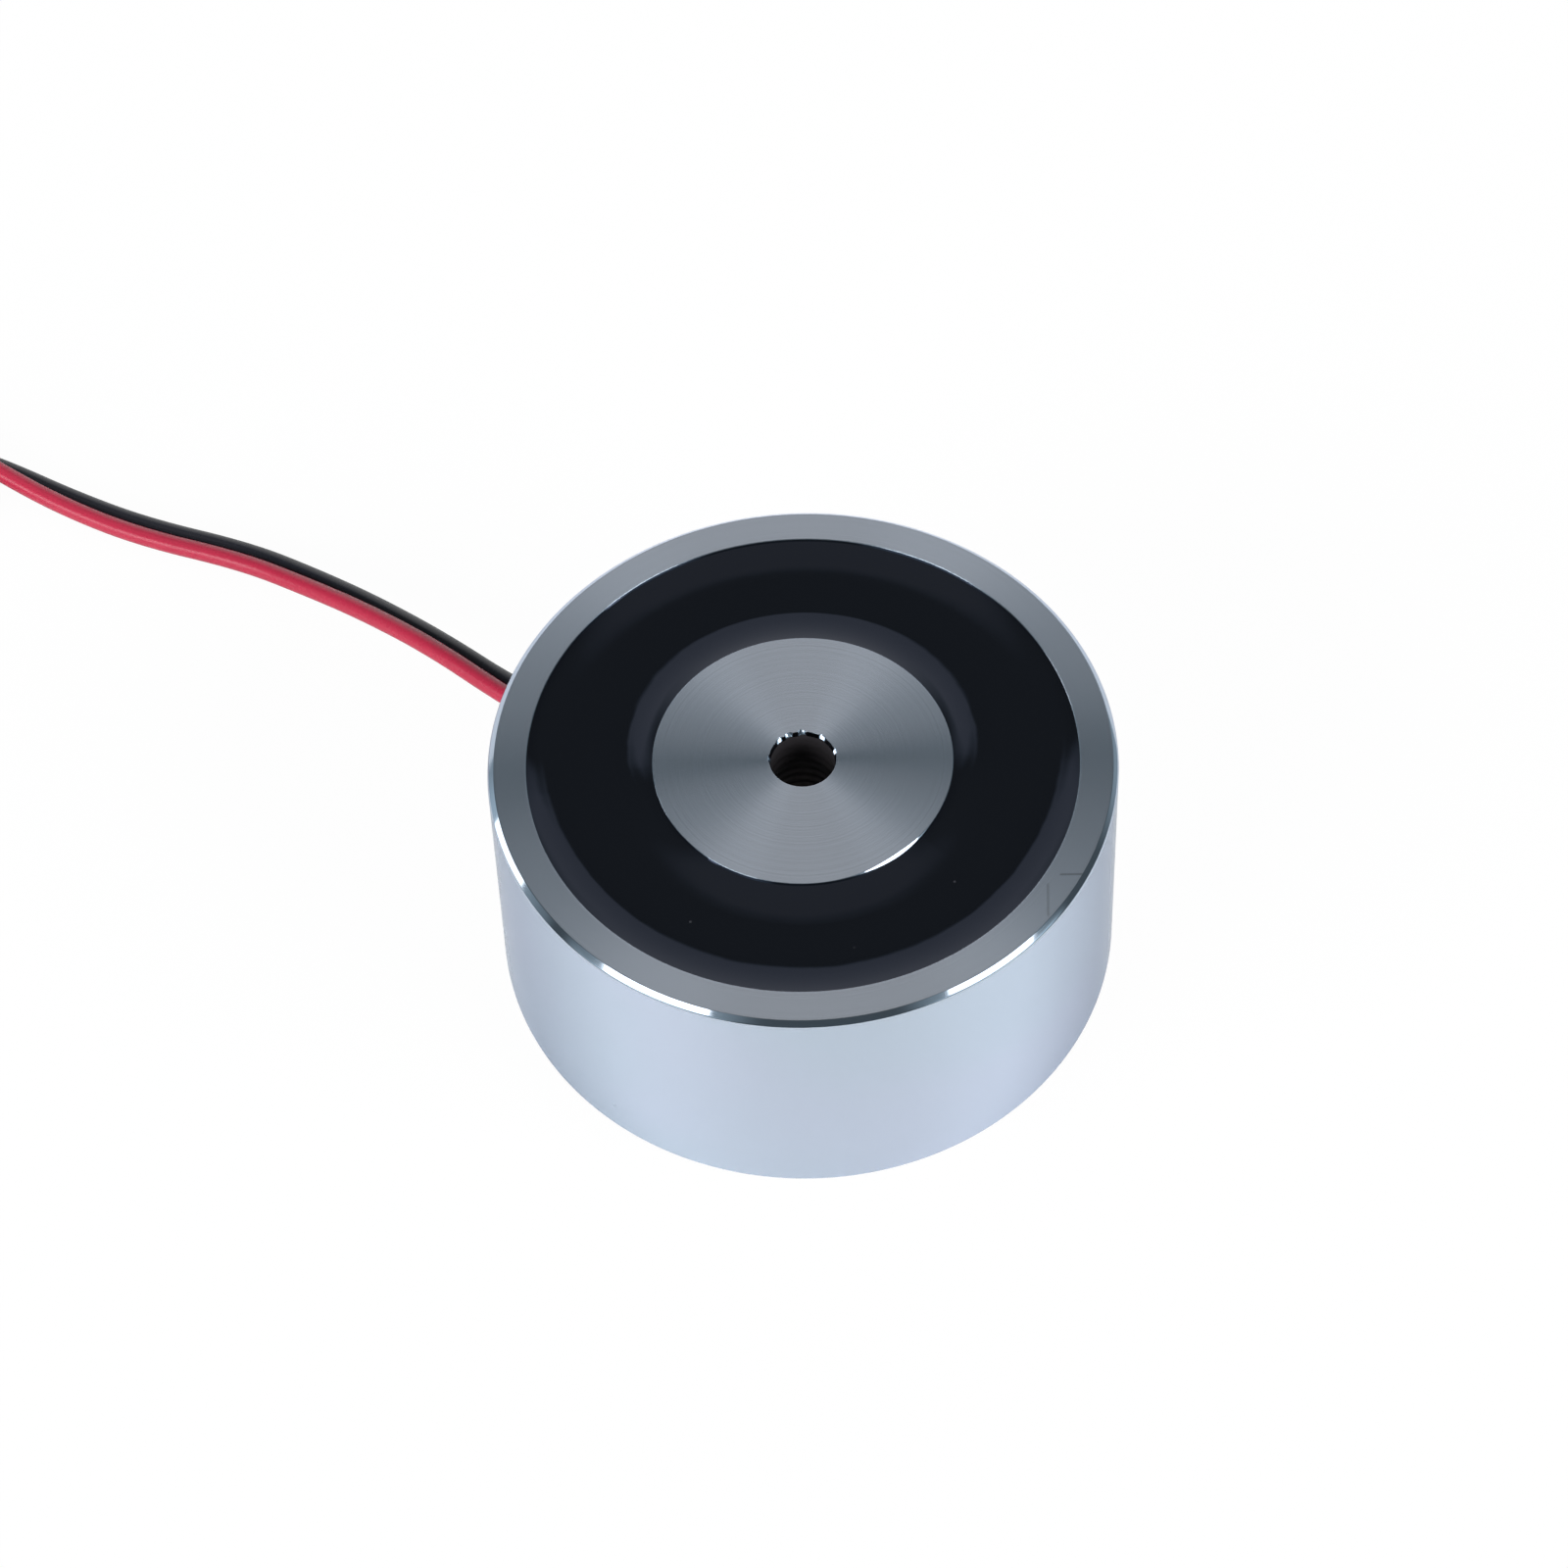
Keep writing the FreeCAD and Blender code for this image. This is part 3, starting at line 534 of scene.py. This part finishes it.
def close_mesh(mesh, name, *materials):
    """Turn a finished bmesh into a smooth-shaded mesh."""
    bmesh.ops.recalc_face_normals(mesh, faces=mesh.faces)
    for face in mesh.faces:
        face.smooth = True
    data = bpy.data.meshes.new(name)
    mesh.to_mesh(data)
    mesh.free()
    for material in materials:
        data.materials.append(material)
    return data


def paint(material, *nodes):
    """Give carried-over CAD nodes their finish."""
    for node in nodes:
        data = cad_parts[node].data
        data.materials.clear()
        data.materials.append(material)


def softened(corners, steps=5):
    """An outline through (across, up, rounding, finish) corners, each rounded by a small arc.

    Gives (across, up, finish) points, where finish belongs to the stretch that follows the point.
    """
    points = []
    for number, (across, up, rounding, finish) in enumerate(corners):
        if rounding == 0:
            points.append((across, up, finish))
            continue
        corner = Vector((across, up))
        before = Vector(corners[number - 1][:2])
        after = Vector(corners[(number + 1) % len(corners)][:2])
        inward, outward = (before - corner).normalized(), (after - corner).normalized()
        turn = math.pi - inward.angle(outward)
        setback = rounding * math.tan(turn / 2)
        centre = corner + (inward + outward).normalized() * rounding / math.cos(turn / 2)
        first, last = corner + inward * setback - centre, corner + outward * setback - centre
        sweep = first.angle_signed(last)
        for step in range(steps + 1):
            spoke = Matrix.Rotation(-sweep * step / steps, 2) @ first
            points.append((*(centre + spoke), finish))
    return points


def bridge(mesh, ring, following, finish=0):
    """Quads between two closed rings of vertices."""
    for number, vertex in enumerate(ring):
        beside = (number + 1) % len(ring)
        face = mesh.faces.new((vertex, following[number], following[beside], ring[beside]))
        face.material_index = finish


def sweep_rings(mesh, rings, closed=False):
    """A skin over rings of points: a loop, or a bar with flat ends."""
    loops = [[mesh.verts.new(point) for point in ring] for ring in rings]
    for ring, following in zip(loops, loops[1:]):
        bridge(mesh, ring, following)
    if closed:
        bridge(mesh, loops[-1], loops[0])
    else:
        mesh.faces.new(loops[0])
        mesh.faces.new(loops[-1])


# Turned pot
def turn_point(radius, share, height):
    return Vector((radius * math.cos(math.tau * share), radius * math.sin(math.tau * share), height))


def mouth_cut(sizes, share):
    """Width and depth of the mouth of the tapped hole, which is wider and flatter where the tool dug in."""
    width, depth = sizes.face_countersink, sizes.mouth_depth
    for bearing, skew in MOUTH_NICKS:
        apart = math.remainder(math.tau * share - math.radians(bearing), math.tau) / sizes.nick_breadth
        if abs(apart) < 1:
            # A hump with a flat top
            nick = min(0.75 * (1 + math.cos(math.pi * apart)), 1.0)
            width += nick * (sizes.nick_width + skew * apart)
            depth += nick * (sizes.nick_depth - sizes.mouth_depth)
    return width, depth


def pole_break(sizes, share):
    """Edge break on the pole, which is wider on one side."""
    lean = max(math.cos(math.tau * share - sizes.pole_nick), 0) ** sizes.pole_falloff
    return sizes.pole_chamfer + (sizes.pole_wide - sizes.pole_chamfer) * lean


def thread_depth(sizes, share, height):
    """How far the thread is cut out of the bore's wall; tapped from the back, it fades at its other end."""
    phase = (height / sizes.thread_pitch - share) % 1.0
    groove = min(max((GROOVE_HALF - abs(phase - 0.5)) / FLANK, 0.0), 1.0)
    start = (height - sizes.back_countersink) / (sizes.thread_pitch / 2)
    end = (sizes.height - sizes.mouth_depth - height) / sizes.thread_fade
    return (sizes.thread_radius - sizes.bore_radius) * groove * min(start, end, 1.0)


def hole_rows(low, high):
    """Heights of the mesh rows that frame the lead hole."""
    return [low + (high - low) * number / HOLE_CELLS for number in range(HOLE_CELLS + 1)]


def pot_section(sizes, share, inner_rows, outer_rows):
    """The pot's section at a share of a turn, from one end of the bore round to the other."""
    top, outer, well = sizes.height, sizes.radius, sizes.well_radius
    bore, pole = sizes.bore_radius, sizes.pole_radius
    edge, sharp, worn = pole_break(sizes, share), sizes.sharp_edge, sizes.worn_edge
    rim = sizes.rim_chamfer + sizes.rim_runout * math.cos(math.tau * share - sizes.rim_lean)
    mouth_width, mouth_depth = mouth_cut(sizes, share)
    return softened([
        (bore, top - mouth_depth, sharp, POLISHED),
        (bore + mouth_width, top, sharp, TURNED),
        (pole - edge, top, sharp, POLISHED),
        (pole, top - edge, sharp, POLISHED),
        (pole, sizes.well_floor, 0, POLISHED),
        (well, sizes.well_floor, 0, POLISHED),
        *[(well, height, 0, POLISHED) for height in inner_rows],
        (well, top - sizes.well_chamfer, sharp, TURNED),
        (well + sizes.well_chamfer, top, sharp, TURNED),
        (outer - rim, top, sizes.rim_edge, POLISHED),
        (outer, top - rim, sizes.rim_wear, POLISHED),
        *[(outer, height, 0, POLISHED) for height in reversed(outer_rows)],
        (outer, sizes.back_chamfer, worn, POLISHED),
        (outer - sizes.back_chamfer, 0, sharp, TURNED),
        (bore + sizes.back_countersink, 0, sharp, POLISHED),
        (bore, sizes.back_countersink, 0, TAPPED),
    ])


def bore_heights(sizes):
    """Rows of the tapped wall between the two countersinks."""
    low, high = sizes.back_countersink, sizes.height - sizes.mouth_depth - sizes.sharp_edge
    rows = round((high - low) / sizes.thread_pitch * THREAD_ROWS)
    return [low + (high - low) * number / rows for number in range(1, rows + 1)]


def drill(mesh, sizes, outer_frame, inner_frame):
    """The lead hole: from a frame of vertices on the wall to its broken edge, and through to the well."""
    middle = sizes.lead_hole_height
    spokes = [Vector((vertex.co.y, vertex.co.z - middle)).normalized() for vertex in outer_frame]

    def ring(wall, radius, depth, frame_ring=None, share=1.0):
        vertices = []
        for number, spoke in enumerate(spokes):
            place = spoke * radius
            if frame_ring:
                edge = Vector((frame_ring[number].co.y, frame_ring[number].co.z - middle))
                place = edge.lerp(place, share)
            x = depth - math.sqrt(wall ** 2 - place.x ** 2)
            vertices.append(mesh.verts.new((x, place.x, middle + place.y)))
        return vertices

    outer, well, hole, break_ = sizes.radius, sizes.well_radius, sizes.lead_hole_radius, sizes.worn_edge
    rings = [outer_frame]
    rings += [ring(outer, hole + break_, 0, outer_frame, share) for share in (0.5, 1.0)]
    for step in (0.25, 0.5, 0.75, 1.0):
        turn = math.pi / 2 * step
        rings.append(ring(outer, hole + break_ * (1 - math.sin(turn)), break_ * (1 - math.cos(turn))))
    rings.append(ring(well, hole, 0))
    rings.append(inner_frame)
    for first, second in zip(rings, rings[1:]):
        bridge(mesh, first, second, POLISHED)


def frame_loop(grid, rows, columns):
    """The vertices round a block of cells, given its rows from the lowest and its columns."""
    bottom = [grid[rows[0]][column] for column in columns[:-1]]
    right = [grid[row][columns[-1]] for row in rows[:-1]]
    top = [grid[rows[-1]][column] for column in reversed(columns[1:])]
    left = [grid[row][columns[0]] for row in reversed(rows[1:])]
    return bottom + right + top + left


def build_pot(sizes):
    """The turned pot as one closed mesh: rows of vertices along its section, drilled for the leads."""
    columns = sizes.columns
    half = math.tau * sizes.radius / columns * HOLE_CELLS / 2
    height = sizes.lead_hole_height
    outer_rows = hole_rows(height - half, height + half)
    inner_rows = hole_rows(sizes.well_floor + sizes.sharp_edge, height + half)
    sections = [pot_section(sizes, column / columns, inner_rows, outer_rows) for column in range(columns)]
    mesh = bmesh.new()
    grid, finishes = [], []
    for row, (_, _, finish) in enumerate(sections[0]):
        points = [section[row][:2] for section in sections]
        grid.append([mesh.verts.new(turn_point(r, n / columns, z)) for n, (r, z) in enumerate(points)])
        finishes.append(finish)
    for z in bore_heights(sizes):
        depths = [thread_depth(sizes, n / columns, z) for n in range(columns)]
        grid.append([mesh.verts.new(turn_point(sizes.bore_radius + cut, n / columns, z))
                     for n, cut in enumerate(depths)])
        finishes.append(TAPPED)
    outline = [point[:2] for point in sections[0]]
    inner_first = outline.index((sizes.well_radius, inner_rows[0]))
    outer_first = outline.index((sizes.radius, outer_rows[-1]))
    cells = range(HOLE_CELLS + 1)
    inner_block = [inner_first + number for number in cells]
    outer_block = [outer_first + HOLE_CELLS - number for number in cells]
    hole_columns = [columns // 2 - HOLE_CELLS // 2 + number for number in cells]
    opened = {*inner_block[:-1], *outer_block[1:]}
    for row, (ring, finish) in enumerate(zip(grid, finishes)):
        following = grid[(row + 1) % len(grid)]
        for column in range(columns):
            if row in opened and column in hole_columns[:-1]:
                continue
            beside = (column + 1) % columns
            face = mesh.faces.new((ring[column], following[column], following[beside], ring[beside]))
            face.material_index = finish
    outer_frame = frame_loop(grid, outer_block, hole_columns)
    inner_frame = frame_loop(grid, inner_block, hole_columns)
    drill(mesh, sizes, outer_frame, inner_frame)
    return mesh


class MAGNET_OT_pot(Operator):
    """Build the turned and plated pot with its tapped pole and drilled lead hole"""
    bl_idname = "magnet.pot"
    bl_label = "Pot"

    def execute(self, context):
        sizes, finishes = context.scene.magnet_pot, context.scene.magnet_finishes
        slots = {
            TURNED: turned_plating(finishes),
            POLISHED: polished_plating(finishes, sizes),
            TAPPED: tapped_steel(finishes, sizes),
        }
        data = close_mesh(build_pot(sizes), "turned_pot", *[slots[slot] for slot in sorted(slots)])
        piece = add_piece("turned_pot", data, "plated_steel", "pot_body")
        piece.modifiers.new("even_shading", "WEIGHTED_NORMAL")
        return {"FINISHED"}


class MAGNET_OT_coil(Operator):
    """Finish the potting resin and the coil's buried parts"""
    bl_idname = "magnet.coil"
    bl_label = "Potted coil"

    def execute(self, context):
        finishes, leads = context.scene.magnet_finishes, context.scene.magnet_leads
        paint(potting_resin(finishes), "potting_compound")
        paint(mottled("moulded_nylon", finishes.nylon, 0.4), "coil_bobbin")
        paint(wound_copper(finishes, leads), "coil_winding", "start_tail", "finish_tail")
        paint(mottled("amber_tape", finishes.tape, 0.2, scale=200.0), "coil_tape")
        paint(mottled("solder", finishes.tinned, 0.3, metallic=1.0), "red_joint", "black_joint")
        sleeving = mottled("braided_sleeving", finishes.sleeving, 0.6, scale=2500.0, grain=0.00008)
        paint(sleeving, "red_joint_sleeve", "black_joint_sleeve")
        return {"FINISHED"}


# Leads
def pair_route(sizes, pot):
    """The middle line of the pair, with the degrees that the pair is rolled about it."""
    wall = -pot.radius
    coil_height = sizes.lower_level + sizes.pitch / 2
    route = [(Vector((wall + sizes.buried, 0, pot.lead_hole_height)), 0.0)]
    route += [(Vector((wall - away, across, up)), roll) for away, across, up, roll in LEAD_ROUTE]
    route += [(Vector((wall - away, across, coil_height)), ON_EDGE) for away, across in COIL_ENTRY]
    return route


class SpareCoil:
    """The turns that put away the spare length of the leads."""

    def __init__(self, sizes, pot):
        self.sizes = sizes
        before, start = [point.xy for point, _ in pair_route(sizes, pot)[-2:]]
        heading = start - before
        self.begin = math.atan2(heading.y, heading.x) - math.pi / 2
        self.middle = start - sizes.coil_radius * self.spoke(0).xy

    def spoke(self, turns):
        """Outward direction after some turns."""
        bearing = self.begin + math.tau * turns
        return Vector((math.cos(bearing), math.sin(bearing), 0))

    def reach(self, turns):
        return self.sizes.coil_radius - self.sizes.pitch * turns

    def height(self, side):
        return self.sizes.lower_level + (self.sizes.pitch if side == RED else 0)

    def at(self, turns, reach, height):
        return self.middle.to_3d() + self.spoke(turns) * reach + Vector((0, 0, height))

    def turn(self, turns, side):
        return self.at(turns, self.reach(turns), self.height(side))


def lead_points(sizes, side, pot):
    """One lead's control points: along the pair's route, then round the turns of its spare length."""
    route = pair_route(sizes, pot)
    points = []
    for number, (point, roll) in enumerate(route):
        behind, ahead = route[max(number - 1, 0)][0], route[min(number + 1, len(route) - 1)][0]
        heading = (ahead - behind).xy.normalized()
        right = Vector((heading.y, -heading.x, 0))
        tilt = math.radians(roll)
        offset = right * math.cos(tilt) + Vector((0, 0, math.sin(tilt)))
        points.append(point + offset * side * sizes.pitch / 2)
    coil = SpareCoil(sizes, pot)
    steps = round(sizes.turns * TURN_POINTS)
    return points + [coil.turn(sizes.turns * step / steps, side) for step in range(1, steps + 1)]


def lead_curve(name, points, diameter):
    """A lead as one smooth spline."""
    curve = bpy.data.curves.new(name, "CURVE")
    curve.dimensions = "3D"
    spline = curve.splines.new("NURBS")
    spline.points.add(len(points) - 1)
    for place, point in zip(spline.points, points):
        place.co = (*point, 1)
    spline.order_u = 3
    spline.use_endpoint_u = True
    spline.resolution_u = 8
    curve.bevel_depth = diameter / 2
    curve.bevel_resolution = 6
    curve.use_fill_caps = True
    return curve


def bared_end(sizes, coil, side):
    """Six tinned strands twisted round a seventh, bent as the last turn is."""
    mesh = bmesh.new()
    # Three strands lie across the conductor, and this is the radius of one
    strand = sizes.conductor / 3 / 2
    last = coil.reach(sizes.turns)
    sweep = sizes.strip_length / (math.tau * last)
    around, rows, corners = 6, 24, 8
    for number in range(1 + around):
        orbit = 0 if number == 0 else 2 * strand
        rings = []
        for row in range(rows + 1):
            turns = sizes.turns + sweep * row / rows
            lay = math.tau * (number / around + sizes.strip_length * row / rows / sizes.strand_lay)
            reach = last + orbit * math.cos(lay)
            height = coil.height(side) + orbit * math.sin(lay)
            rings.append([coil.at(turns, reach + strand * math.cos(turn), height + strand * math.sin(turn))
                          for turn in (math.tau * corner / corners for corner in range(corners))])
        sweep_rings(mesh, rings)
    return mesh


class MAGNET_OT_leads(Operator):
    """Lay the red and the black lead with their bared ends"""
    bl_idname = "magnet.leads"
    bl_label = "Leads"

    def execute(self, context):
        scene = context.scene
        sizes, finishes, pot = scene.magnet_leads, scene.magnet_finishes, scene.magnet_pot
        coil = SpareCoil(sizes, pot)
        tinned = mottled("tinned_strands", finishes.tinned, 0.25, metallic=1.0)
        shades = {"red": (RED, finishes.red_insulation), "black": (BLACK, finishes.black_insulation)}
        for name, (side, shade) in shades.items():
            curve = lead_curve(f"{name}_wire", lead_points(sizes, side, pot), sizes.diameter)
            curve.materials.append(insulation(f"{name}_vinyl", shade))
            wire = add_piece(f"{name}_wire", curve, f"{name}_insulation", f"{name}_lead", f"{name}_lead_coil")
            data = close_mesh(bared_end(sizes, coil, side), f"{name}_strands", tinned)
            strands = add_piece(f"{name}_strands", data, "tinned_copper", f"{name}_lead_end")
        return {"FINISHED"}


# Wire tie
def ribbon_section(sizes, cells=10):
    """Section of the tie's ribbon: two thin wings beside a round wire, as (across, out) points."""
    upper = []
    for number in range(cells + 1):
        across = sizes.width * (number / cells - 0.5)
        swell = max(1 - (4 * across / sizes.width) ** 2, 0) ** 0.5
        upper.append((across, (sizes.wing + (sizes.thickness - sizes.wing) * swell) / 2))
    return upper + [(across, -out) for across, out in reversed(upper)]


def build_tie(sizes, leads, pot):
    """A ribbon round both leads' turns, with its ends twisted together outside them."""
    mesh = bmesh.new()
    coil = SpareCoil(leads, pot)
    half = sizes.thickness / 2
    inner_edge = coil.reach(leads.turns) - leads.diameter / 2
    near = math.sqrt(inner_edge ** 2 - (sizes.width / 2) ** 2) - sizes.clearance - half
    far = leads.coil_radius + leads.diameter / 2 + sizes.clearance + half
    low = half
    high = leads.lower_level + leads.pitch + leads.diameter / 2 + sizes.clearance + half
    loop = softened([(across, up, sizes.thickness, 0) for across, up in
                     ((near, low), (far, low), (far, high), (near, high))], steps=6)
    loop = [Vector(point[:2]) for point in loop]
    turns = sizes.bearing / math.tau
    side = Vector((0, 0, 1)).cross(coil.spoke(turns))
    section = ribbon_section(sizes)
    rings = []
    for number, place in enumerate(loop):
        run = (loop[(number + 1) % len(loop)] - loop[number - 1]).normalized()
        out = Vector((run.y, -run.x))
        rings.append([coil.at(turns, *(place + out * rise)) + side * across for across, rise in section])
    sweep_rings(mesh, rings, closed=True)
    middle = (low + high) / 2
    orbit = sizes.twist_diameter / 4
    rows, corners = 40, 10
    for start in (0, math.pi):
        rings = []
        for row in range(rows + 1):
            reach = far + sizes.twist_length * row / rows
            twist = start + math.tau * sizes.twist_turns * row / rows
            out = side * math.cos(twist) + Vector((0, 0, math.sin(twist)))
            along = Vector((0, 0, math.cos(twist))) - side * math.sin(twist)
            centre = coil.at(turns, reach, middle) + out * orbit
            rings.append([centre + out * half * math.cos(turn) + along * orbit * math.sin(turn)
                          for turn in (math.tau * corner / corners for corner in range(corners))])
        sweep_rings(mesh, rings)
    return mesh


class MAGNET_OT_tie(Operator):
    """Put the wire tie round the spare length of the leads"""
    bl_idname = "magnet.tie"
    bl_label = "Wire tie"

    def execute(self, context):
        scene = context.scene
        mesh = build_tie(scene.magnet_tie, scene.magnet_leads, scene.magnet_pot)
        plastic = mottled("tie_plastic", scene.magnet_finishes.tie, 0.4, scale=1200.0)
        add_piece("twist_tie", close_mesh(mesh, "twist_tie", plastic), "wire_tie", "lead_tie")
        return {"FINISHED"}


# Studio
def camera_axes(studio):
    """Right, up and back of the camera before its roll."""
    turn, rise = studio.azimuth, studio.elevation
    right = Vector((math.cos(turn), math.sin(turn), 0))
    back = Vector((math.sin(turn) * math.cos(rise), -math.cos(turn) * math.cos(rise), math.sin(rise)))
    return right, back.cross(right), back


def away_from_camera(studio):
    """Level direction from the camera past the part."""
    return Vector((-math.sin(studio.azimuth), math.cos(studio.azimuth), 0))


def add_camera(studio, aim):
    right, up, back = camera_axes(studio)
    data = bpy.data.cameras.new("camera")
    data.lens = studio.lens
    data.sensor_width = 36
    camera = add_object("camera", data)
    eye = aim + back * studio.distance + right * studio.offset_right + up * studio.offset_up
    turned = Matrix((right, up, back)).transposed() @ Matrix.Rotation(studio.roll, 3, "Z")
    camera.matrix_world = Matrix.LocRotScale(eye, turned.to_quaternion(), None)
    bpy.context.scene.camera = camera


def direction(studio, bearing, rise):
    """Direction at degrees round from the camera's right, anticlockwise from above, and above the floor."""
    bearing, rise = math.radians(bearing), math.radians(rise)
    level_part = camera_axes(studio)[0] * math.cos(bearing) + away_from_camera(studio) * math.sin(bearing)
    return level_part * math.cos(rise) + Vector((0, 0, math.sin(rise)))


def add_softbox(name, studio, aim, start, end, breadth, radiance, glossy=True, reach=3.0):
    """A strip light from one (bearing, rise) in degrees to another, as far off as reach says in metres.

    Its breadth is in degrees too.
    """
    first, last = [direction(studio, *place) * reach for place in (start, end)]
    outward = (first + last).normalized()
    along = (last - first).normalized()
    lamp = bpy.data.lights.new(name, "AREA")
    lamp.shape = "RECTANGLE"
    lamp.size = (last - first).length
    lamp.size_y = 2 * reach * math.tan(math.radians(breadth) / 2)
    lamp.energy = radiance * math.pi * lamp.size * lamp.size_y
    box = add_object(name, lamp)
    turned = Matrix((along, outward.cross(along), outward)).transposed()
    box.matrix_world = Matrix.LocRotScale(aim + (first + last) / 2, turned.to_quaternion(), None)
    box.visible_camera = False
    box.visible_glossy = glossy


def set_world(studio):
    """A studio room: bright backdrop, dim ceiling, a glow round each softbox, and a dark room otherwise."""
    world = bpy.data.worlds.new("studio_room")
    bpy.context.scene.world = world
    tree = Tree(world)
    heading = tree.node("TexCoord", out="Generated")
    up = tree.axes(heading)[2]
    # A little over 1, so that straight up is no division by zero
    level_part = (1.0001 - up * up) ** 0.5
    facing = tree.dot(heading, away_from_camera(studio)) / level_part
    side = studio.room_side + up.step(*LOW_ROOM) * (studio.room_low - studio.room_side)
    side = side + up.step(*ROOM_FOOT) * (studio.room_foot - studio.room_low)
    room = studio.room_front + facing.step(*ROOM_SIDES) * (side - studio.room_front)
    backdrop = studio.backdrop_low + up * ((studio.backdrop_high - studio.backdrop_low) / BACKDROP_HEIGHT)
    flare = (up.step(*FLARE_TOP) - up.step(*FLARE_FOOT)) * FLARE
    behind = (facing + flare).step(*BACKDROP_SIDES) * up.step(*BACKDROP_TOP)
    above = up.step(*CEILING_EDGE)
    seen = tree.node("LightPath", out="Is Camera Ray")
    spill = up.step(*SPILL_TOP) * facing.step(*SPILL_SIDES) * studio.spill
    for start, end, _, _ in SOFTBOXES.values():
        middle = (direction(studio, *start) + direction(studio, *end)).normalized()
        half = direction(studio, *start).angle(middle)
        near = tree.dot(heading, middle).step(math.cos(half + studio.glow_reach), math.cos(half * GLOW_CORE))
        room = room + near * (studio.glow + spill)
    room = room + behind * (backdrop - room)
    room = room + above * (studio.ceiling - room)
    room = room + seen * (1 - room)
    tint = tree.blend(above, tree.blend(behind, studio.room_tint, (1, 1, 1)), studio.ceiling_tint)
    tint = tree.blend(seen, tint, (1, 1, 1))
    tree.finish(tree.node("Background", sockets={"Color": tint, "Strength": room}), "World")


def add_floor(studio):
    """A plain pale floor that shows white with a soft shadow."""
    mesh = bmesh.new()
    bmesh.ops.create_circle(mesh, cap_ends=True, segments=96, radius=studio.floor_size)
    material, tree = new_material("pale_floor")
    path = tree.node("LightPath", out="Is Camera Ray")
    mirrored = path.output("Is Glossy Ray") + path.output("Is Transmission Ray")
    paper = tree.node("BsdfDiffuse", sockets={"Color": tree.rgba(studio.floor_paper)})
    white = tree.node("Emission", sockets={"Color": (1, 1, 1, 1), "Strength": 1.0})
    share = path * studio.floor_seen + mirrored * studio.floor_mirrored
    tree.finish(tree.node("MixShader", sockets={0: share, 1: paper, 2: white}))
    floor = add_object("floor", close_mesh(mesh, "floor", material))
    floor.location.z = -studio.floor_gap


class MAGNET_OT_stage(Operator):
    """Set up the camera, the floor and the studio's light"""
    bl_idname = "magnet.stage"
    bl_label = "Studio"

    def execute(self, context):
        studio = context.scene.magnet_studio
        aim = Vector((0, 0, context.scene.magnet_pot.height))
        context.scene.view_settings.view_transform = "Standard"
        add_camera(studio, aim)
        set_world(studio)
        add_floor(studio)
        for name, box in SOFTBOXES.items():
            add_softbox(name, studio, aim, *box)
        for name, lamp in KEY_LAMPS.items():
            add_softbox(name, studio, aim, *lamp, glossy=False)
        return {"FINISHED"}


class MAGNET_PT_panel(Panel):
    """Steps of the magnet's dressing, in order"""
    bl_idname = "MAGNET_PT_panel"
    bl_label = "Holding Electromagnet"
    bl_space_type = "VIEW_3D"
    bl_region_type = "UI"
    bl_category = "Magnet"

    def draw(self, context):
        for operator in OPERATORS:
            self.layout.operator(operator.bl_idname)


GROUPS = {
    "magnet_pot": PotSizes,
    "magnet_leads": LeadSizes,
    "magnet_tie": TieSizes,
    "magnet_finishes": Finishes,
    "magnet_studio": Studio,
}
OPERATORS = [MAGNET_OT_stage, MAGNET_OT_pot, MAGNET_OT_coil, MAGNET_OT_tie, MAGNET_OT_leads]


def register():
    for item in (*GROUPS.values(), *OPERATORS, MAGNET_PT_panel):
        bpy.utils.register_class(item)
    for name, group in GROUPS.items():
        setattr(bpy.types.Scene, name, PointerProperty(type=group))


def unregister():
    for name in GROUPS:
        delattr(bpy.types.Scene, name)
    for item in (MAGNET_PT_panel, *reversed(OPERATORS), *GROUPS.values()):
        bpy.utils.unregister_class(item)


def main():
    register()
    bpy.ops.magnet.stage()
    bpy.ops.magnet.pot()
    bpy.ops.magnet.coil()
    bpy.ops.magnet.tie()
    bpy.ops.magnet.leads()


if __name__ == "__main__":
    main()
